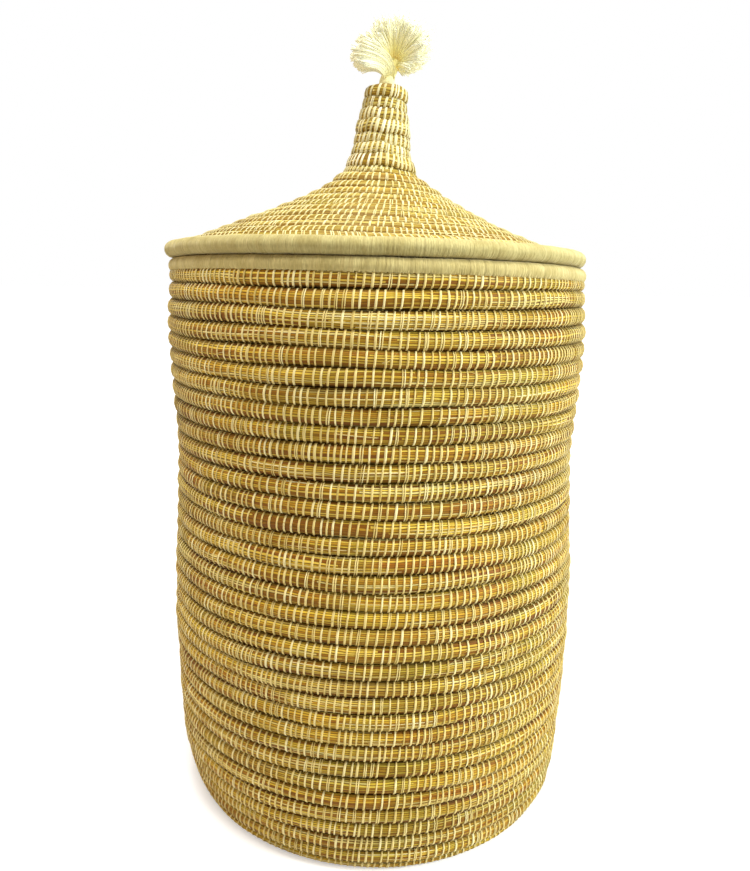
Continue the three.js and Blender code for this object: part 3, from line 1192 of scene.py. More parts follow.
@dataclass(frozen=True)
class Finish:
    """What every finish shares.

    Attributes:
        name: Name of the material.
        slot: Slot of the record that it belongs to; not used.
        roughness: Roughness of the surface.
        sheen: How much its fine hairs catch the light.
        glow: Strength of a painted glow, which makes the surface emit its own colour.
    """

    name: str
    slot: Slot
    roughness: float = 0.6
    sheen: float = 0.0
    glow: float = 0.0

    def colours(self, shader: Shader, groups: Groups) -> tuple[Socket, Socket]:
        """Adds the pattern, and gives its colour and its height in metres."""
        raise NotImplementedError

    def material(self, groups: Groups) -> bpy.types.Material:
        """Builds the material.

        Args:
            groups: Patterns that finishes share.

        Returns:
            The material.
        """
        material = bpy.data.materials.new(self.name)
        shader = Shader.of(material)
        colour, height = self.colours(shader, groups)
        bump = shader.node("Bump", inputs={"Strength": 0.7, "Distance": 1.0, "Height": height})
        inputs = {
            "Base Color": colour,
            "Roughness": self.roughness,
            "Normal": bump.outputs["Normal"],
            "Specular IOR Level": 0.15,
            "Sheen Weight": self.sheen,
            "Sheen Roughness": 0.5,
            "Sheen Tint": (1.0, 0.93, 0.7, 1.0),
        }
        # painted glow: the surface emits its own colour
        if self.glow:
            inputs |= {"Emission Color": colour, "Emission Strength": self.glow}
        surface = shader.node("BsdfPrincipled", inputs=inputs)
        shader.node("OutputMaterial", inputs={"Surface": surface.outputs["BSDF"]})
        return material


@dataclass(frozen=True)
class StalkFinish(Finish):
    """Dry grass stalks: golden, with brown and olive ones among them."""

    # deep is painted shade in the groove between coils
    deep: tuple = paint(40, 24, 2)
    # split is painted shade in the gaps between stalks
    split: tuple = paint(96, 54, 8)
    dark: tuple = paint(124, 74, 14)
    brown: tuple = paint(184, 138, 34)
    ochre: tuple = paint(224, 190, 62)
    gold: tuple = paint(246, 217, 94)
    pale: tuple = paint(253, 238, 152)
    olive: tuple = paint(172, 170, 58)
    red: tuple = paint(174, 112, 30)
    # under is painted shade on the lower half of each coil
    under: tuple = paint(112, 66, 14)
    # strength of the painted shade in the groove between coils
    painted_groove_shade: float = 0.76

    def colours(self, shader: Shader, groups: Groups) -> tuple[Socket, Socket]:
        """Adds the stalks.

        Args:
            shader: Tree that they go into.
            groups: Patterns that finishes share.

        Returns:
            Their colour and height.
        """
        grain = shader.grain()
        along, across = shader.split(grain)
        stalks = shader.group(groups.stalks, Grain=grain)
        streak = shader.group(groups.fibre, Grain=grain)["Streak"]
        tones = (self.dark, self.brown, self.ochre, self.gold, self.ochre, self.pale)
        stops = dict(zip((0.0, 0.24, 0.52, 0.75, 0.87, 0.98), tones))
        colour = shader.ramp(stalks["Tone"], stops)
        # Olive patches, and redder stretches along the rope
        olive = shader.patches(shader.place(), 16.0, 3.0, (0.52, 0.68))
        colour = shader.mix(shader.scaled(olive, 0.5), colour, self.olive)
        slow = shader.vector(shader.scaled(along, 7.0), 0.0)
        red = shader.patches(slow, 1.0, 2.0, (0.42, 0.66))
        colour = shader.mix(shader.scaled(red, 0.45), colour, self.red)
        # Fibres, and bundles that are darker or paler as a whole
        stops = {0.3: (0.66, 0.62, 0.5, 1), 0.62: (1.12, 1.1, 1.05, 1)}
        colour = shader.tint(colour, streak, stops)
        bundle = shader.noise(shader.vector(shader.scaled(along, 3.5), 40.0), 1.0)
        stops = {0.34: (0.74, 0.76, 0.66, 1), 0.5: 1.0, 0.64: (1.14, 1.12, 1.1, 1)}
        colour = shader.tint(colour, bundle, stops)
        # Painted shade below the crest, in the gaps between stalks and in the groove between coils
        # painted shade on the lower half of each coil, weaker on the paler stalks
        stops = {-13 * MM: 0.0, -10 * MM: 0.9, -5.5 * MM: 0.9, -3 * MM: 0.65, 2 * MM: 0.0}
        darker = shader.ramp(stalks["Tone"], {0.15: 1.0, 0.5: 0.7, 0.8: 0.1})
        under = shader.math("MULTIPLY", shader.underside(across, stops), darker)
        colour = shader.mix(under, colour, self.under)
        # painted shade in the gaps between stalks
        colour = shader.mix(shader.scaled(stalks["Gap"], 0.95), colour, self.split)
        # painted shade where the crest value falls towards the groove
        painted_shade = shader.fade(shader.attribute("crest"), 0.35, 0.9, self.painted_groove_shade, 0.0)
        colour = shader.mix(painted_shade, colour, self.deep)
        rise = shader.scaled(stalks["Round"], 0.35 * MM)
        return colour, shader.math("ADD", rise, shader.scaled(streak, 0.12 * MM))


@dataclass(frozen=True)
class StripFinish(Finish):
    """Pale split leaf of the binding and of the straws under it."""

    dull: tuple = paint(200, 175, 98)
    pale: tuple = paint(226, 206, 136)
    bright: tuple = paint(243, 232, 178)
    # painted shade at the strip ends, where they dip into the grooves
    painted_end_shade: tuple = paint(150, 118, 48)

    def colours(self, shader: Shader, groups: Groups) -> tuple[Socket, Socket]:
        """Adds the strips.

        Args:
            shader: Tree that they go into.
            groups: Patterns that finishes share.

        Returns:
            Their colour and height.
        """
        fibre = shader.group(groups.fibre, Grain=shader.grain(), Along=160.0, Across=2600.0)
        streak = fibre["Streak"]
        stops = {0.0: self.dull, 0.25: self.pale, 0.7: self.pale, 1.0: self.bright}
        colour = shader.ramp(shader.attribute("tone"), stops)
        stops = {0.3: (0.8, 0.76, 0.64, 1), 0.6: (1.06, 1.05, 1.02, 1)}
        colour = shader.tint(colour, streak, stops)
        # painted shade towards both ends of each strip
        painted_shade = shader.fade(shader.attribute("crest"), 0.0, 0.6, 0.75, 0.0)
        return shader.mix(painted_shade, colour, self.painted_end_shade), shader.scaled(streak, 0.2 * MM)


@dataclass(frozen=True)
class WrapFinish(Finish):
    """Matt cream yarn, wound closely, with painted shade between its threads and on the lower half of
    the ring.
    """

    # painted shade in the grooves between threads
    painted_hollow_shade: tuple = paint(164, 148, 92)
    face: tuple = paint(214, 203, 142)
    dull: tuple = paint(166, 150, 90)
    # painted shade on the lower half of the ring
    painted_shade: tuple = paint(132, 114, 62)

    def colours(self, shader: Shader, groups: Groups) -> tuple[Socket, Socket]:
        """Adds the winding.

        Args:
            shader: Tree that it goes into.
            groups: Patterns that finishes share.

        Returns:
            Its colour and height.
        """
        grain = shader.grain()
        # painted shade in the grooves between threads, where the crest value is low
        colour = shader.mix(shader.attribute("crest"), self.painted_hollow_shade, self.face)
        dull = shader.patches(shader.place(), 70.0, 5.0, (0.42, 0.62))
        colour = shader.mix(shader.scaled(dull, 0.6), colour, self.dull)
        streak = shader.group(groups.fibre, Grain=grain, Along=1100.0, Across=220.0)["Streak"]
        stops = {0.3: (0.84, 0.82, 0.74, 1), 0.65: (1.06, 1.05, 1.02, 1)}
        colour = shader.tint(colour, streak, stops)
        # painted shade on the lower half of the ring
        stops = {-22 * MM: 0.0, -14 * MM: 0.5, -6 * MM: 0.34, 1 * MM: 0.0}
        under = shader.underside(shader.split(grain)[1], stops)
        return shader.mix(under, colour, self.painted_shade), shader.scaled(streak, 0.5 * MM)


@dataclass(frozen=True)
class YarnFinish(Finish):
    """Soft cream yarn of the tassel, with painted golden shade deep in its heart."""

    # deep is painted shade deep in the head, where the crest value is low
    deep: tuple = paint(244, 202, 76)
    middle: tuple = paint(243, 233, 160)
    tip: tuple = paint(242, 240, 212)

    def colours(self, shader: Shader, groups: Groups) -> tuple[Socket, Socket]:
        """Adds the yarn.

        Args:
            shader: Tree that it goes into.
            groups: Patterns that finishes share.

        Returns:
            Its colour and height.
        """
        # painted golden shade deep in the head, pale towards the tips
        stops = {0.0: self.deep, 0.4: self.middle, 0.85: self.tip}
        colour = shader.ramp(shader.attribute("crest"), stops)
        stops = {0.0: (0.98, 0.97, 0.9, 1), 1.0: 1.0}
        colour = shader.tint(colour, shader.attribute("tone"), stops)
        along, across = shader.split(shader.grain())
        twist = shader.math("ADD", shader.scaled(along, 2600.0), shader.scaled(across, TURN))
        return colour, shader.scaled(shader.math("SINE", twist), 0.05 * MM)


# Tassel


@dataclass(frozen=True)
class Tassel:
    """Hank of yarn, knotted inside the neck, twisted into a stem and cut into a full head.

    The twist of the stem carries on into the head: the yarns of one side turn over to the left
    in front, and the rest fan out behind them.

    Attributes:
        pivot: Where the stem leaves the neck.
        bend: Where its middle line bends.
        heart: Where the head spreads from.
        stem_radii: Radius of the stem at its foot, waist and top.
        stem_rings: Yarns in each ring of the stem, the ring's share of its radius and their size.
        outline: Angle in degrees from the right and reach in mm of the fan's edge.
        swirl_edge: Share of the swirl from inside out, angle in degrees and reach in mm of its edge.
        front_yarns: How many yarns fan out in front.
        back_yarns: How many yarns fan out behind them.
        swirl_yarns: How many yarns turn over to the left.
        seed: Seed of its wander.
    """

    pivot: tuple = (0.0065, 0.0, 0.692)
    bend: tuple = (0.0065, 0.0, 0.704)
    heart: tuple = (0.0137, 0.0, 0.7185)
    stem_radii: tuple = (7.8 * MM, 5.4 * MM, 5.2 * MM)
    stem_rings: tuple = ((42, 1.0, 0.7 * MM), (18, 0.68, 1.2 * MM), (7, 0.3, 1.7 * MM))
    outline: tuple = (
        (-42, -25, -12, 8, 20, 38, 62, 84, 100, 113, 130, 158),
        (12, 17, 26, 32, 36, 41, 37, 40, 36, 38, 33, 34),
    )
    swirl_edge: tuple = ((0, 0.3, 0.7, 1), (200, 186, 164, 138), (20, 28, 30, 28))
    front_yarns: int = 3000
    back_yarns: int = 1350
    swirl_yarns: int = 1400
    seed: int = 91

    FAN_STRAND = 9  # yarns that lean alike in the fan
    SWIRL_STRAND = 24  # yarns that lean alike in the swirl
    SWIRL_DEPTH = 0.42  # depth in the head that the swirl starts at, where 0 is the deepest
    TWIST = 4.4  # angle in radians that the stem's yarns turn by
    DEEP = 6 * MM  # how far inside the neck the stem starts

    def _stem_path(self, share: Array) -> tuple[Array, Array]:
        """Points and directions of the stem's middle line, from a little inside the neck."""
        low, bend, high = (np.array(p) for p in (self.pivot, self.bend, self.heart))
        return bent_line(share, low - np.array((0, 0, self.DEEP)), bend, high)

    def stem(self) -> Piece:
        """Builds the stem of yarns twisted round each other.

        Returns:
            The stem.
        """
        rng = seeded(self.seed)
        where, depth, size = [], [], []
        for count, ring, yarn in self.stem_rings:
            where.extend(TURN * (np.arange(count) + rng.uniform(-0.15, 0.15, count)) / count)
            depth.extend([ring] * count)
            size.extend(yarn * rng.uniform(0.85, 1.15, count))
        where, depth, size = np.array(where), np.array(depth), np.array(size)
        shape = repeated(bar(22, 6), len(where))
        tone = rng.random(len(where))

        def lay(points: Array) -> Laid:
            """Lays the yarns round the stem's middle line.

            Args:
                points: Points of the row of bars.

            Returns:
                Where they lie, and what the finish reads there.
            """
            copy, local = split_copies(points)
            share = local[:, 2] + 0.5
            middle, tangent = self._stem_path(share)
            side = unit(np.cross(tangent, (0.0, 1.0, 0.0)))
            front = np.cross(tangent, side)
            girth = np.interp(share, (0, 0.3, 0.55, 1), (0.55 * self.stem_radii[0], *self.stem_radii))
            turn = where[copy] + self.TWIST * share
            strand = 1 + 0.17 * np.cos(3 * where[copy])
            off = (girth - size[copy] * 0.6) * depth[copy] * strand
            turn_own = np.arctan2(local[:, 1], local[:, 0]) + turn
            thick = size[copy] * 2 * np.hypot(local[:, 0], local[:, 1])
            x = off * np.cos(turn) + thick * np.cos(turn_own)
            y = off * np.sin(turn) + thick * np.sin(turn_own)
            places = middle + side * x[:, None] + front * y[:, None]
            grain = np.column_stack((share * 0.03 + tone[copy], turn_own / TURN))
            # crest sets the painted golden shade: more of it towards the top and on the inner rings
            return Laid(places, grain, 0.35 + 0.4 * depth[copy] * (1 - share), tone[copy])

        return finished(shape, lay)

    def _yarns(self, bends: Array, size: Array, depth: Array) -> Piece:
        """Builds yarns along bent lines.

        Args:
            bends: Four points for each yarn: where it starts and ends, and two that draw it aside.
            size: Radius of each yarn.
            depth: How deep in the head each one starts, 0 for the deepest.

        Returns:
            The yarns, as one piece.
        """
        rng = seeded(self.seed + len(size))
        count = len(size)
        crimp = rng.uniform(0.2, 0.7, count) * MM
        waves = rng.uniform(1.5, 3.5, count)
        phase = rng.uniform(0, TURN, count)
        tone = rng.random(count)
        a, b, c, d = (bends[:, corner] for corner in range(4))
        plane = unit(np.cross(d - a, b - a + rng.normal(0, MM, (count, 3))))
        reach = np.linalg.norm(d - a, axis=1)
        shape = repeated(bar(6, 4), count)

        def lay(points: Array) -> Laid:
            """Lays the yarns along their bent lines.

            Args:
                points: Points of the row of bars.

            Returns:
                Where they lie, and what the finish reads there.
            """
            copy, local = split_copies(points)
            share = (local[:, 2] + 0.5)[:, None]
            rest = 1 - share
            line = rest**3 * a[copy] + 3 * rest**2 * share * b[copy]
            line += 3 * rest * share**2 * c[copy] + share**3 * d[copy]
            along = rest**2 * (b - a)[copy] + 2 * rest * share * (c - b)[copy]
            along += share**2 * (d - c)[copy]
            side = plane[copy]
            front = np.cross(unit(along), side)
            share = share[:, 0]
            wave = crimp[copy] * np.sin(TURN * waves[copy] * share + phase[copy]) * share
            thick = size[copy] * (0.55 + 0.45 * smoothstep(share, 0.1, 0.6)) * 2
            thick *= 1 - 0.3 * smoothstep(share, 0.85, 1.0)
            x, y = local[:, 0] * thick + wave, local[:, 1] * thick
            places = line + side * x[:, None] + front * y[:, None]
            turn = np.arctan2(local[:, 1], local[:, 0]) / TURN
            grain = np.column_stack((share * reach[copy] + tone[copy], turn))
            # crest rises from root to tip, so the roots get the painted golden shade deep in the head
            return Laid(places, grain, depth[copy] + (1 - depth[copy]) * share, tone[copy])

        return finished(shape, lay)

    def fan(self, count: int, nearest: float, furthest: float) -> Piece:
        """Builds yarns that fan out from the heart.

        Args:
            count: How many yarns it has.
            nearest: How far the first of them lean to the back, in degrees.
            furthest: How far the last of them lean to the back, in degrees.

        Returns:
            The yarns.
        """
        rng = seeded(self.seed + int(furthest))
        strands = count // self.FAN_STRAND
        strand = rng.integers(0, strands, count)
        back = rng.uniform(nearest, furthest, strands)
        back = np.radians(back[strand] + rng.normal(0, 3, count))
        angle = np.radians(rng.uniform(-40, 156, strands)[strand] + rng.normal(0, 2.4, count))
        out = np.column_stack(
            (np.cos(angle) * np.cos(back), np.sin(back), np.sin(angle) * np.cos(back))
        )
        stations, lengths = self.outline
        longest = np.interp(angle, np.radians(stations), lengths) * MM
        longest = longest + (33 * MM - longest) * np.sin(np.abs(back)) ** 2
        uneven = rng.uniform(0.84, 1.08, strands)[strand] * rng.uniform(0.9, 1.0, count)
        reach = (longest * uneven)[:, None]
        heart = np.array(self.heart)
        lean = 0.6 * rng.normal(0, 1, (count, 3)) + 0.5 * rng.normal(0, 1, (strands, 3))[strand]
        inner = heart + (2.2 * out + 0.9 * lean) * MM + (0, 1.5 * MM, 0)
        start = inner - np.array((0.003, 0, 0.009))
        late = inner + out * reach * 0.6 + lean * 1.3 * MM
        tip = heart + out * reach + lean * 1.6 * MM
        bends = np.stack((start, inner + out * reach * 0.1, late, tip), axis=1)
        size = rng.uniform(0.66, 0.95, count) * MM
        return self._yarns(bends, size, np.zeros(count))

    def swirl(self) -> Piece:
        """Builds the yarns that turn over to the left in front of the fan.

        Returns:
            The yarns.
        """
        rng = seeded(self.seed + 2)
        count = self.swirl_yarns
        strands = count // self.SWIRL_STRAND
        strand = rng.integers(0, strands, count)
        outer = np.clip(rng.random(strands)[strand] + rng.normal(0, 0.05, count), 0, 1)
        front = np.clip(rng.uniform(-1, 1, strands)[strand] + rng.normal(0, 0.08, count), -1, 1)
        level = -2.5 + 4.5 * front

        def spot(x: Array, y: Array, z: Array) -> Array:
            """Places given in millimetres."""
            return np.column_stack((x, y, z)) * MM

        start = spot(4.5 + 9 * outer, 0.8 * level, 700.5 + 0 * outer)
        rise = start + spot(0.5 + 1.5 * outer, 0 * outer - 1.5, 2 + 17 * outer)
        over = spot(-1 + 5 * outer, level - 4, 711 + 17 * outer)
        shares, turns, reaches = self.swirl_edge
        turn = np.radians(np.interp(outer, shares, turns))
        turn += rng.normal(0, 0.09, strands)[strand] + rng.normal(0, 0.04, count)
        reach = np.interp(outer, shares, reaches)
        reach = reach * rng.uniform(0.8, 1.06, strands)[strand] * rng.uniform(0.9, 1.0, count)
        ahead = -7 + 15 * front + rng.normal(0, 2, count)
        tip = spot(2 + reach * np.cos(turn), ahead, 715 + reach * np.sin(turn))
        bends = np.stack((start, rise, over, tip), axis=1)
        size = rng.uniform(0.45, 0.68, count) * MM
        return self._yarns(bends, size, np.full(count, self.SWIRL_DEPTH))

    def knot(self) -> Piece:
        """Builds the knot inside the neck from yarn wound round and round.

        Returns:
            The knot.
        """
        low, high = (np.array(corner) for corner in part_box("tassel_knot"))
        middle, half = (low + high) / 2, (high - low) / 2
        shape = bmesh.new()
        bmesh.ops.create_uvsphere(shape, u_segments=48, v_segments=24, radius=1.0)

        def lay(points: Array) -> Laid:
            """Lays the winding on the knot.

            Args:
                points: Points of the round ball.

            Returns:
                Where they lie, and what the finish reads there.
            """
            around = np.arctan2(points[:, 1], points[:, 0])
            yarn = 1 - 0.06 * (1 + np.sin(9 * points[:, 2] * 2.4 + 2 * around))
            places = middle + points * half * 0.98 * yarn[:, None]
            grain = np.column_stack((around * half[0], points[:, 2] * half[2]))
            return Laid(places, grain, yarn, np.zeros(len(points)))

        return finished(shape, lay)


# Assembly

MOUTH_SLOPE = 0.0116  # the coils and the mouth end lower on the right
MOUTH_EDGE = 0.2  # radius at which the left of the mouth keeps its height
FRONT_RISE = 3 * MM  # the front of the mouth stands this much higher than its sides
RISE_FROM = (508 * MM, 520 * MM)  # heights between which the last coil takes the rise up
RIM = (0.1935, 0.5226)  # radius and height of the middle of the rim
BRIM = (0.1932, 0.5371)  # radius and height of the middle of the brim
LID_HEIGHT = 0.538  # height that the lid leans about
LID_SHIFT = -2.5 * MM  # the lid sits a little to the left
LID_LEAN = (1, 0, MOUTH_SLOPE, LID_SHIFT - MOUTH_SLOPE * LID_HEIGHT)
RIGHT_DROP = (-MOUTH_SLOPE, 0, 1, -MOUTH_SLOPE * MOUTH_EDGE)
LEVEL = Matrix()
RIM_SEAT = Matrix((LEVEL[0], LEVEL[1], RIGHT_DROP, LEVEL[3]))
LID_SEAT = Matrix((LID_LEAN, LEVEL[1], RIGHT_DROP, LEVEL[3]))


@dataclass
class Bench:
    """Where pieces are dressed, set on their bodies and reported.

    Attributes:
        groups: Patterns that finishes share.
        made: Materials that are already built, by name.
    """

    groups: Groups
    made: dict[str, bpy.types.Material] = field(default_factory=dict)

    def add(
        self, name: str, piece: Piece, finish: Finish, body: Body, *nodes: str, seat: Matrix = LEVEL
    ) -> None:
        """Names and dresses a piece, and sets it on its body.

        Args:
            name: Name of the piece.
            piece: The piece.
            finish: Its finish.
            body: Body that it rides on.
            nodes: Nodes of the frame that it replaces.
            seat: How it settles on the mouth, which isn't quite level.
        """
        piece.name = piece.data.name = name
        piece.data.transform(seat)
        self._raise_front(piece.data)
        if finish.name not in self.made:
            self.made[finish.name] = finish.material(self.groups)
        piece.data.materials.append(self.made[finish.name])
        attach(piece, body.value)
        if nodes:
            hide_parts(*nodes)
        count = sum(len(face.vertices) - 2 for face in piece.data.polygons)
        log.info("%s: %d triangles on %s", name, count, body.value)

    @staticmethod
    def _raise_front(mesh: bpy.types.Mesh) -> None:
        """Lifts the front of the mouth and of all that lies on it.

        Args:
            mesh: Mesh of a piece.
        """
        places = np.empty(len(mesh.vertices) * 3, dtype=np.float32)
        mesh.vertices.foreach_get("co", places)
        places = places.reshape(-1, 3)
        front = smoothstep(-places[:, 1], 0, MOUTH_EDGE)
        places[:, 2] += FRONT_RISE * front * smoothstep(places[:, 2], *RISE_FROM)
        mesh.vertices.foreach_set("co", places.ravel())
        mesh.update()


STALKS = StalkFinish("dry_stalks", Slot.GRASS, 0.5)
LID_STALKS = StalkFinish(
    "lid_stalks",
    Slot.GRASS,
    0.52,
    # its deep, split and under colours and its groove strength are painted shade
    deep=paint(92, 54, 6),
    split=paint(114, 78, 16),
    dark=paint(120, 86, 16),
    brown=paint(173, 143, 45),
    ochre=paint(199, 179, 78),
    gold=paint(219, 203, 112),
    olive=paint(180, 169, 72),
    red=paint(176, 139, 46),
    under=paint(145, 110, 32),
    painted_groove_shade=0.75,
)
CORE_STALKS = StalkFinish("hidden_stalks", Slot.CORE, 0.6)
STRIPS = StripFinish("binding_leaf", Slot.GRASS, 0.5)
LID_STRIPS = StripFinish(
    "lid_leaf",
    Slot.GRASS,
    0.5,
    dull=paint(200, 183, 120),
    pale=paint(226, 214, 156),
    bright=paint(235, 227, 180),
)
NECK_STRIPS = StripFinish(
    "neck_leaf",
    Slot.GRASS,
    0.5,
    dull=paint(196, 184, 130),
    pale=paint(230, 222, 176),
    bright=paint(248, 244, 214),
)
WRAP = WrapFinish("wound_yarn", Slot.WRAP, 0.85, sheen=0.25)
# A lighter copy of the wound yarn with almost no painted shade below: painted light on the rim, which
# lies in the shadow of the brim
PAINTED_LIT_RIM_WRAP = WrapFinish(
    "rim_yarn_painted_lit",
    Slot.WRAP,
    0.85,
    sheen=0.25,
    painted_hollow_shade=paint(170, 150, 92),
    face=paint(222, 208, 146),
    dull=paint(178, 160, 97),
    painted_shade=paint(176, 158, 96),
)
# The tassel yarn has a painted glow, which lifts the shade inside the tassel
YARN = YarnFinish("tassel_yarn", Slot.TASSEL, 0.85, glow=0.12)


@dataclass
class Basket:
    """The basket: base, wall and rim.

    Attributes:
        base: Rope coiled flat.
        wall: Rope coiled upwards.
        straws: How many pale straws lie along the wall.
        loose_ends: How many loose ends stand off it.
        core: Grass inside the rim.
        rim: Yarn over that grass.
    """

    base: Rope = Rope(BaseLine(12, 14 * MM), 11, steps=64, wobble=0.25 * MM)
    wall: Rope = Rope(
        WallLine(34.35, 13.5 * MM),
        23,
        steps=82,
        stitch_gap=6.1 * MM,
        rear_climb=0.63,
        tilt=0.3,
        dent=5 * MM,
        wobble=0.7 * MM,
    )
    straws: int = 260
    loose_ends: int = 160
    core: YarnRing = YarnRing(*RIM, 4.6 * MM, 33, 0.5196, 6 * MM, rows=10)
    rim: YarnRing = YarnRing(*RIM, 7 * MM, 31, 0.519)

    def build(self, bench: Bench) -> None:
        """Builds and dresses the basket.

        Args:
            bench: Where pieces are dressed.
        """
        base, wall, on = self.base, self.wall, Body.BASKET
        bench.add("base_rope", base.body(), STALKS, on, "base_coil")
        bench.add("base_strips_under", base.stitches(Face.OUTER), STRIPS, on)
        bench.add("base_strips_inside", base.stitches(Face.INNER), STRIPS, on)
        bench.add("wall_rope", wall.body(), STALKS, on, "wall_coil")
        for side, face, parts in (("", Face.OUTER, 3), ("inside_", Face.INNER, 2)):
            for part in range(parts):
                strips = wall.stitches(face, part / parts, (part + 1) / parts)
                bench.add(f"wall_strips_{side}{part + 1}", strips, STRIPS, on)
        bench.add("wall_straws", wall.strands(self.straws), STRIPS, on)
        bench.add("wall_loose_ends", wall.fibres(self.loose_ends), STRIPS, on)
        bench.add("rim_grass", self.core.build(), CORE_STALKS, on, "rim_core", seat=RIM_SEAT)
        bench.add("rim_yarn_painted_lit", self.rim.build(), PAINTED_LIT_RIM_WRAP, on, "rim_wrap", seat=RIM_SEAT)


@dataclass
class Lid:
    """The lid: brim, cone, neck, the ring that keeps it in the mouth, and the tassel.

    Attributes:
        cone: Rope coiled to the cone.
        straws: How many pale straws lie along the cone.
        neck_straws: How many lie along the neck.
        core: Grass inside the brim.
        brim: Yarn round that grass.
        tassel: The tassel.
    """

    cone: Rope = Rope(ConeLine(12, 12 * MM), 47, stitch_gap=5.7 * MM, stitch_width=2 * MM, sway=0.9 * MM)
    straws: int = 70
    neck_straws: int = 24
    core: YarnRing = YarnRing(*BRIM, 5.6 * MM, 63, None, 6 * MM, rows=10)
    brim: YarnRing = YarnRing(*BRIM, 8 * MM, 67, squash=0.9)
    tassel: Tassel = Tassel()

    NECK_FOOT = 0.25  # share of the neck's rope that has the same strips as the cone
    NECK_LINED = 0.86  # share of it that has strips inside

    @staticmethod
    def neck() -> Rope:
        """Coils the neck, between the heights that the frame gives.

        Returns:
            The rope.
        """
        low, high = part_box("lid_neck_coil")
        line = TubeLine(
            7.4,
            12 * MM,
            low.z - 4 * MM,
            high.z,
            29.5 * MM,
            20.3 * MM,
            lean=5 * MM,
            aside=1.2 * MM,
            flare=7 * MM,
        )
        return Rope(
            line,
            59,
            steps=48,
            stitch_gap=4.2 * MM,
            stitch_width=2.7 * MM,
            slant=2.4 * MM,
            wobble=1.2 * MM,
            sway=1.7 * MM,
            squareness=3.0,
            overlap=1.3 * MM,
        )

    @staticmethod
    def ring() -> Rope:
        """Coils the ring that keeps the lid in the mouth."""
        low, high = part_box("locating_ring")
        return Rope(TubeLine(2, 12 * MM, low.z, high.z, high.x, high.x), 61, wobble=0.2 * MM, sway=0.0)

    def build(self, bench: Bench) -> None:
        """Builds and dresses the lid and its tassel.

        Args:
            bench: Where pieces are dressed.
        """
        cone, neck, ring, tassel = self.cone, self.neck(), self.ring(), self.tassel
        outer, inner = Face.OUTER, Face.INNER
        on_lid = (
            ("cone_rope", cone.body(), LID_STALKS, "lid_cone_coil"),
            ("cone_strips", cone.stitches(outer), LID_STRIPS),
            ("cone_strips_inside", cone.stitches(inner), STRIPS),
            ("cone_straws", cone.strands(self.straws), STRIPS),
            ("neck_rope", neck.body(), LID_STALKS, "lid_neck_coil"),
            ("neck_foot_strips", neck.stitches(outer, 0, self.NECK_FOOT), LID_STRIPS),
            ("neck_strips", neck.stitches(outer, self.NECK_FOOT), NECK_STRIPS),
            ("neck_strips_inside", neck.stitches(inner, 0, self.NECK_LINED), NECK_STRIPS),
            ("neck_straws", neck.strands(self.neck_straws), STRIPS),
            ("ring_rope", ring.body(), STALKS, "locating_ring"),
            ("ring_strips", ring.stitches(outer), STRIPS),
            ("ring_strips_inside", ring.stitches(inner), STRIPS),
            ("brim_grass", self.core.build(), CORE_STALKS, "brim_core"),
            ("brim_yarn", self.brim.build(), WRAP, "brim_wrap"),
            ("yarn_knot", tassel.knot(), YARN, "tassel_knot"),
        )
        on_tassel = (
            ("yarn_stem", tassel.stem(), YARN, "tassel_stem"),
            ("yarn_fan", tassel.fan(tassel.front_yarns, -34, 20), YARN, "tassel_head"),
            ("yarn_fan_behind", tassel.fan(tassel.back_yarns, 10, 88), YARN),
            ("yarn_swirl", tassel.swirl(), YARN),
        )
        for body, pieces in ((Body.LID, on_lid), (Body.TASSEL, on_tassel)):
            for name, piece, finish, *nodes in pieces:
                bench.add(name, piece, finish, body, *nodes, seat=LID_SEAT)


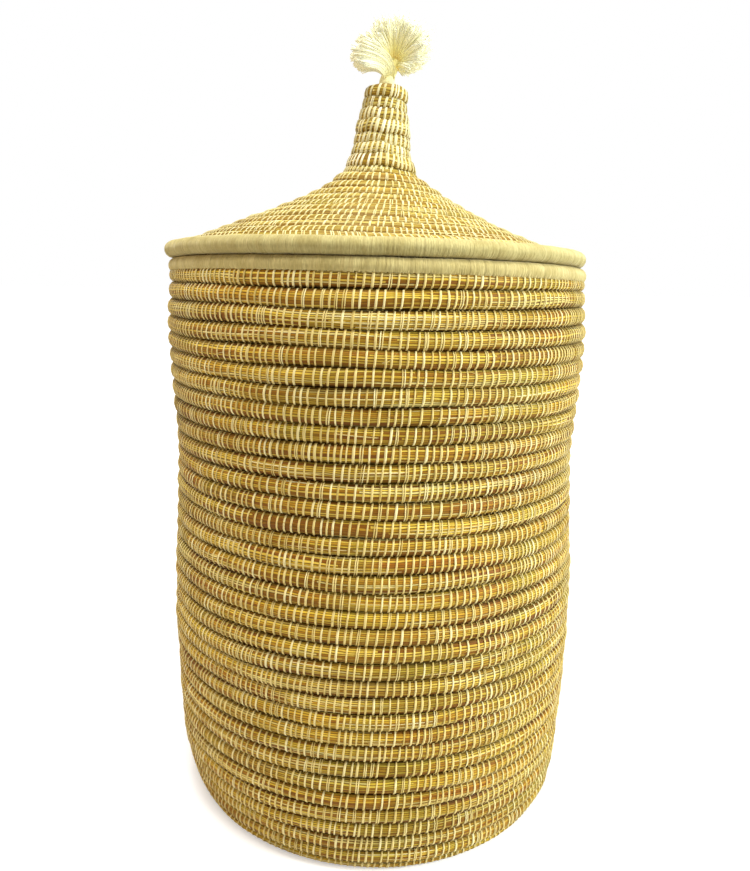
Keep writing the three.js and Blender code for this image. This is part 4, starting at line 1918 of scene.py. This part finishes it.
@dataclass
class Studio:
    """Floor, lamps, background and the camera at the photograph's view.

    Attributes:
        eye: Where the camera stands.
        pitch: How far it looks down, in degrees.
        roll: How far it is turned round its own line of sight, in degrees.
        lens: Focal length for a long side of 36 mm.
    """

    eye: tuple = (0.0, -0.7791, 0.5137)
    pitch: float = 11.52
    roll: float = 0.9
    lens: float = 31.74

    AMBIENT = 0.25  # strength of the world's light on the object, where 1 is white

    def camera(self) -> None:
        """Sets the camera up."""
        camera = added("camera", bpy.data.cameras.new("camera"))
        camera.data.lens = self.lens
        camera.data.sensor_width = 36
        look = Matrix.Rotation(math.radians(90 - self.pitch), 4, "X")
        turn = Matrix.Rotation(math.radians(self.roll), 4, "Z")
        camera.matrix_world = Matrix.Translation(self.eye) @ look @ turn
        bpy.context.scene.camera = camera

    @staticmethod
    def lamp(
        name: str,
        place: tuple,
        aim: tuple,
        size: float,
        power_watts: float,
        colour: tuple = (1, 1, 1),
    ) -> None:
        """Sets up one soft lamp.

        Args:
            name: Name of the lamp.
            place: Where it stands.
            aim: Where it points.
            size: Side of its square face.
            power_watts: Its power.
            colour: Colour of its light.
        """
        data = bpy.data.lights.new(name, "AREA")
        data.size = size
        data.energy = power_watts
        data.color = colour
        lamp = added(name, data)
        lamp.location = place
        lamp.rotation_euler = (Vector(aim) - Vector(place)).to_track_quat("-Z", "Y").to_euler()

    @staticmethod
    def floor() -> None:
        """Lays a plain pale floor, which looks white to the camera and keeps the shadow."""
        shape = bmesh.new()
        bmesh.ops.create_grid(shape, x_segments=1, y_segments=1, size=30.0)
        mesh = bpy.data.meshes.new("floor")
        shape.to_mesh(mesh)
        shape.free()
        material = bpy.data.materials.new("floor")
        shader = Shader.of(material)
        cloth = shader.node("BsdfDiffuse", inputs={"Color": (0.8, 0.8, 0.8, 1)}).outputs[0]
        seen = shader.node("LightPath").outputs["Is Camera Ray"]
        away = shader.node("VectorMath", operation="LENGTH", inputs={0: shader.place()})
        far = shader.fade(away.outputs["Value"], 0.5, 2.4, 0.45, 1.0)
        inputs = {"Color": (1, 1, 1, 1), "Strength": shader.math("MULTIPLY", seen, far)}
        glow = shader.node("Emission", inputs=inputs).outputs[0]
        both = shader.node("AddShader", inputs={0: cloth, 1: glow})
        shader.node("OutputMaterial", inputs={"Surface": both.outputs[0]})
        mesh.materials.append(material)
        added("floor", mesh)

    @staticmethod
    def world() -> None:
        """Sets a white background for the camera, and softer light on the object."""
        world = bpy.data.worlds.new("studio")
        shader = Shader.of(world)
        rays = shader.node("LightPath").outputs
        seen = shader.math("MAXIMUM", rays["Is Camera Ray"], rays["Is Glossy Ray"])
        seen = shader.math("MAXIMUM", seen, rays["Is Transmission Ray"])
        strength = shader.math("MULTIPLY_ADD", seen, 1 - Studio.AMBIENT, Studio.AMBIENT)
        inputs = {"Color": (1, 1, 1, 1), "Strength": strength}
        backdrop = shader.node("Background", inputs=inputs).outputs[0]
        shader.node("OutputWorld", inputs={"Surface": backdrop})
        bpy.context.scene.world = world

    def build(self) -> None:
        """Sets up the whole studio."""
        self.camera()
        self.floor()
        self.world()
        self.lamp("key", (2.4, -0.8, 1.4), (0, 0, 0.35), 1.2, 86, (0.93, 0.99, 1))
        self.lamp("fill", (-2.4, -0.6, 1.0), (0, 0, 0.3), 1.2, 16, (1, 0.7, 0.42))
        self.lamp("top", (-0.15, -0.45, 2.6), (0, 0, 0.45), 1.0, 66)
        bpy.context.scene.view_settings.view_transform = "Standard"


def main() -> None:
    """Builds the studio, the basket and its lid."""
    logging.basicConfig(level=logging.INFO, format="%(name)s: %(message)s")
    Studio().build()
    bench = Bench(Groups())
    Basket().build(bench)
    Lid().build(bench)


if __name__ == "__main__":
    main()
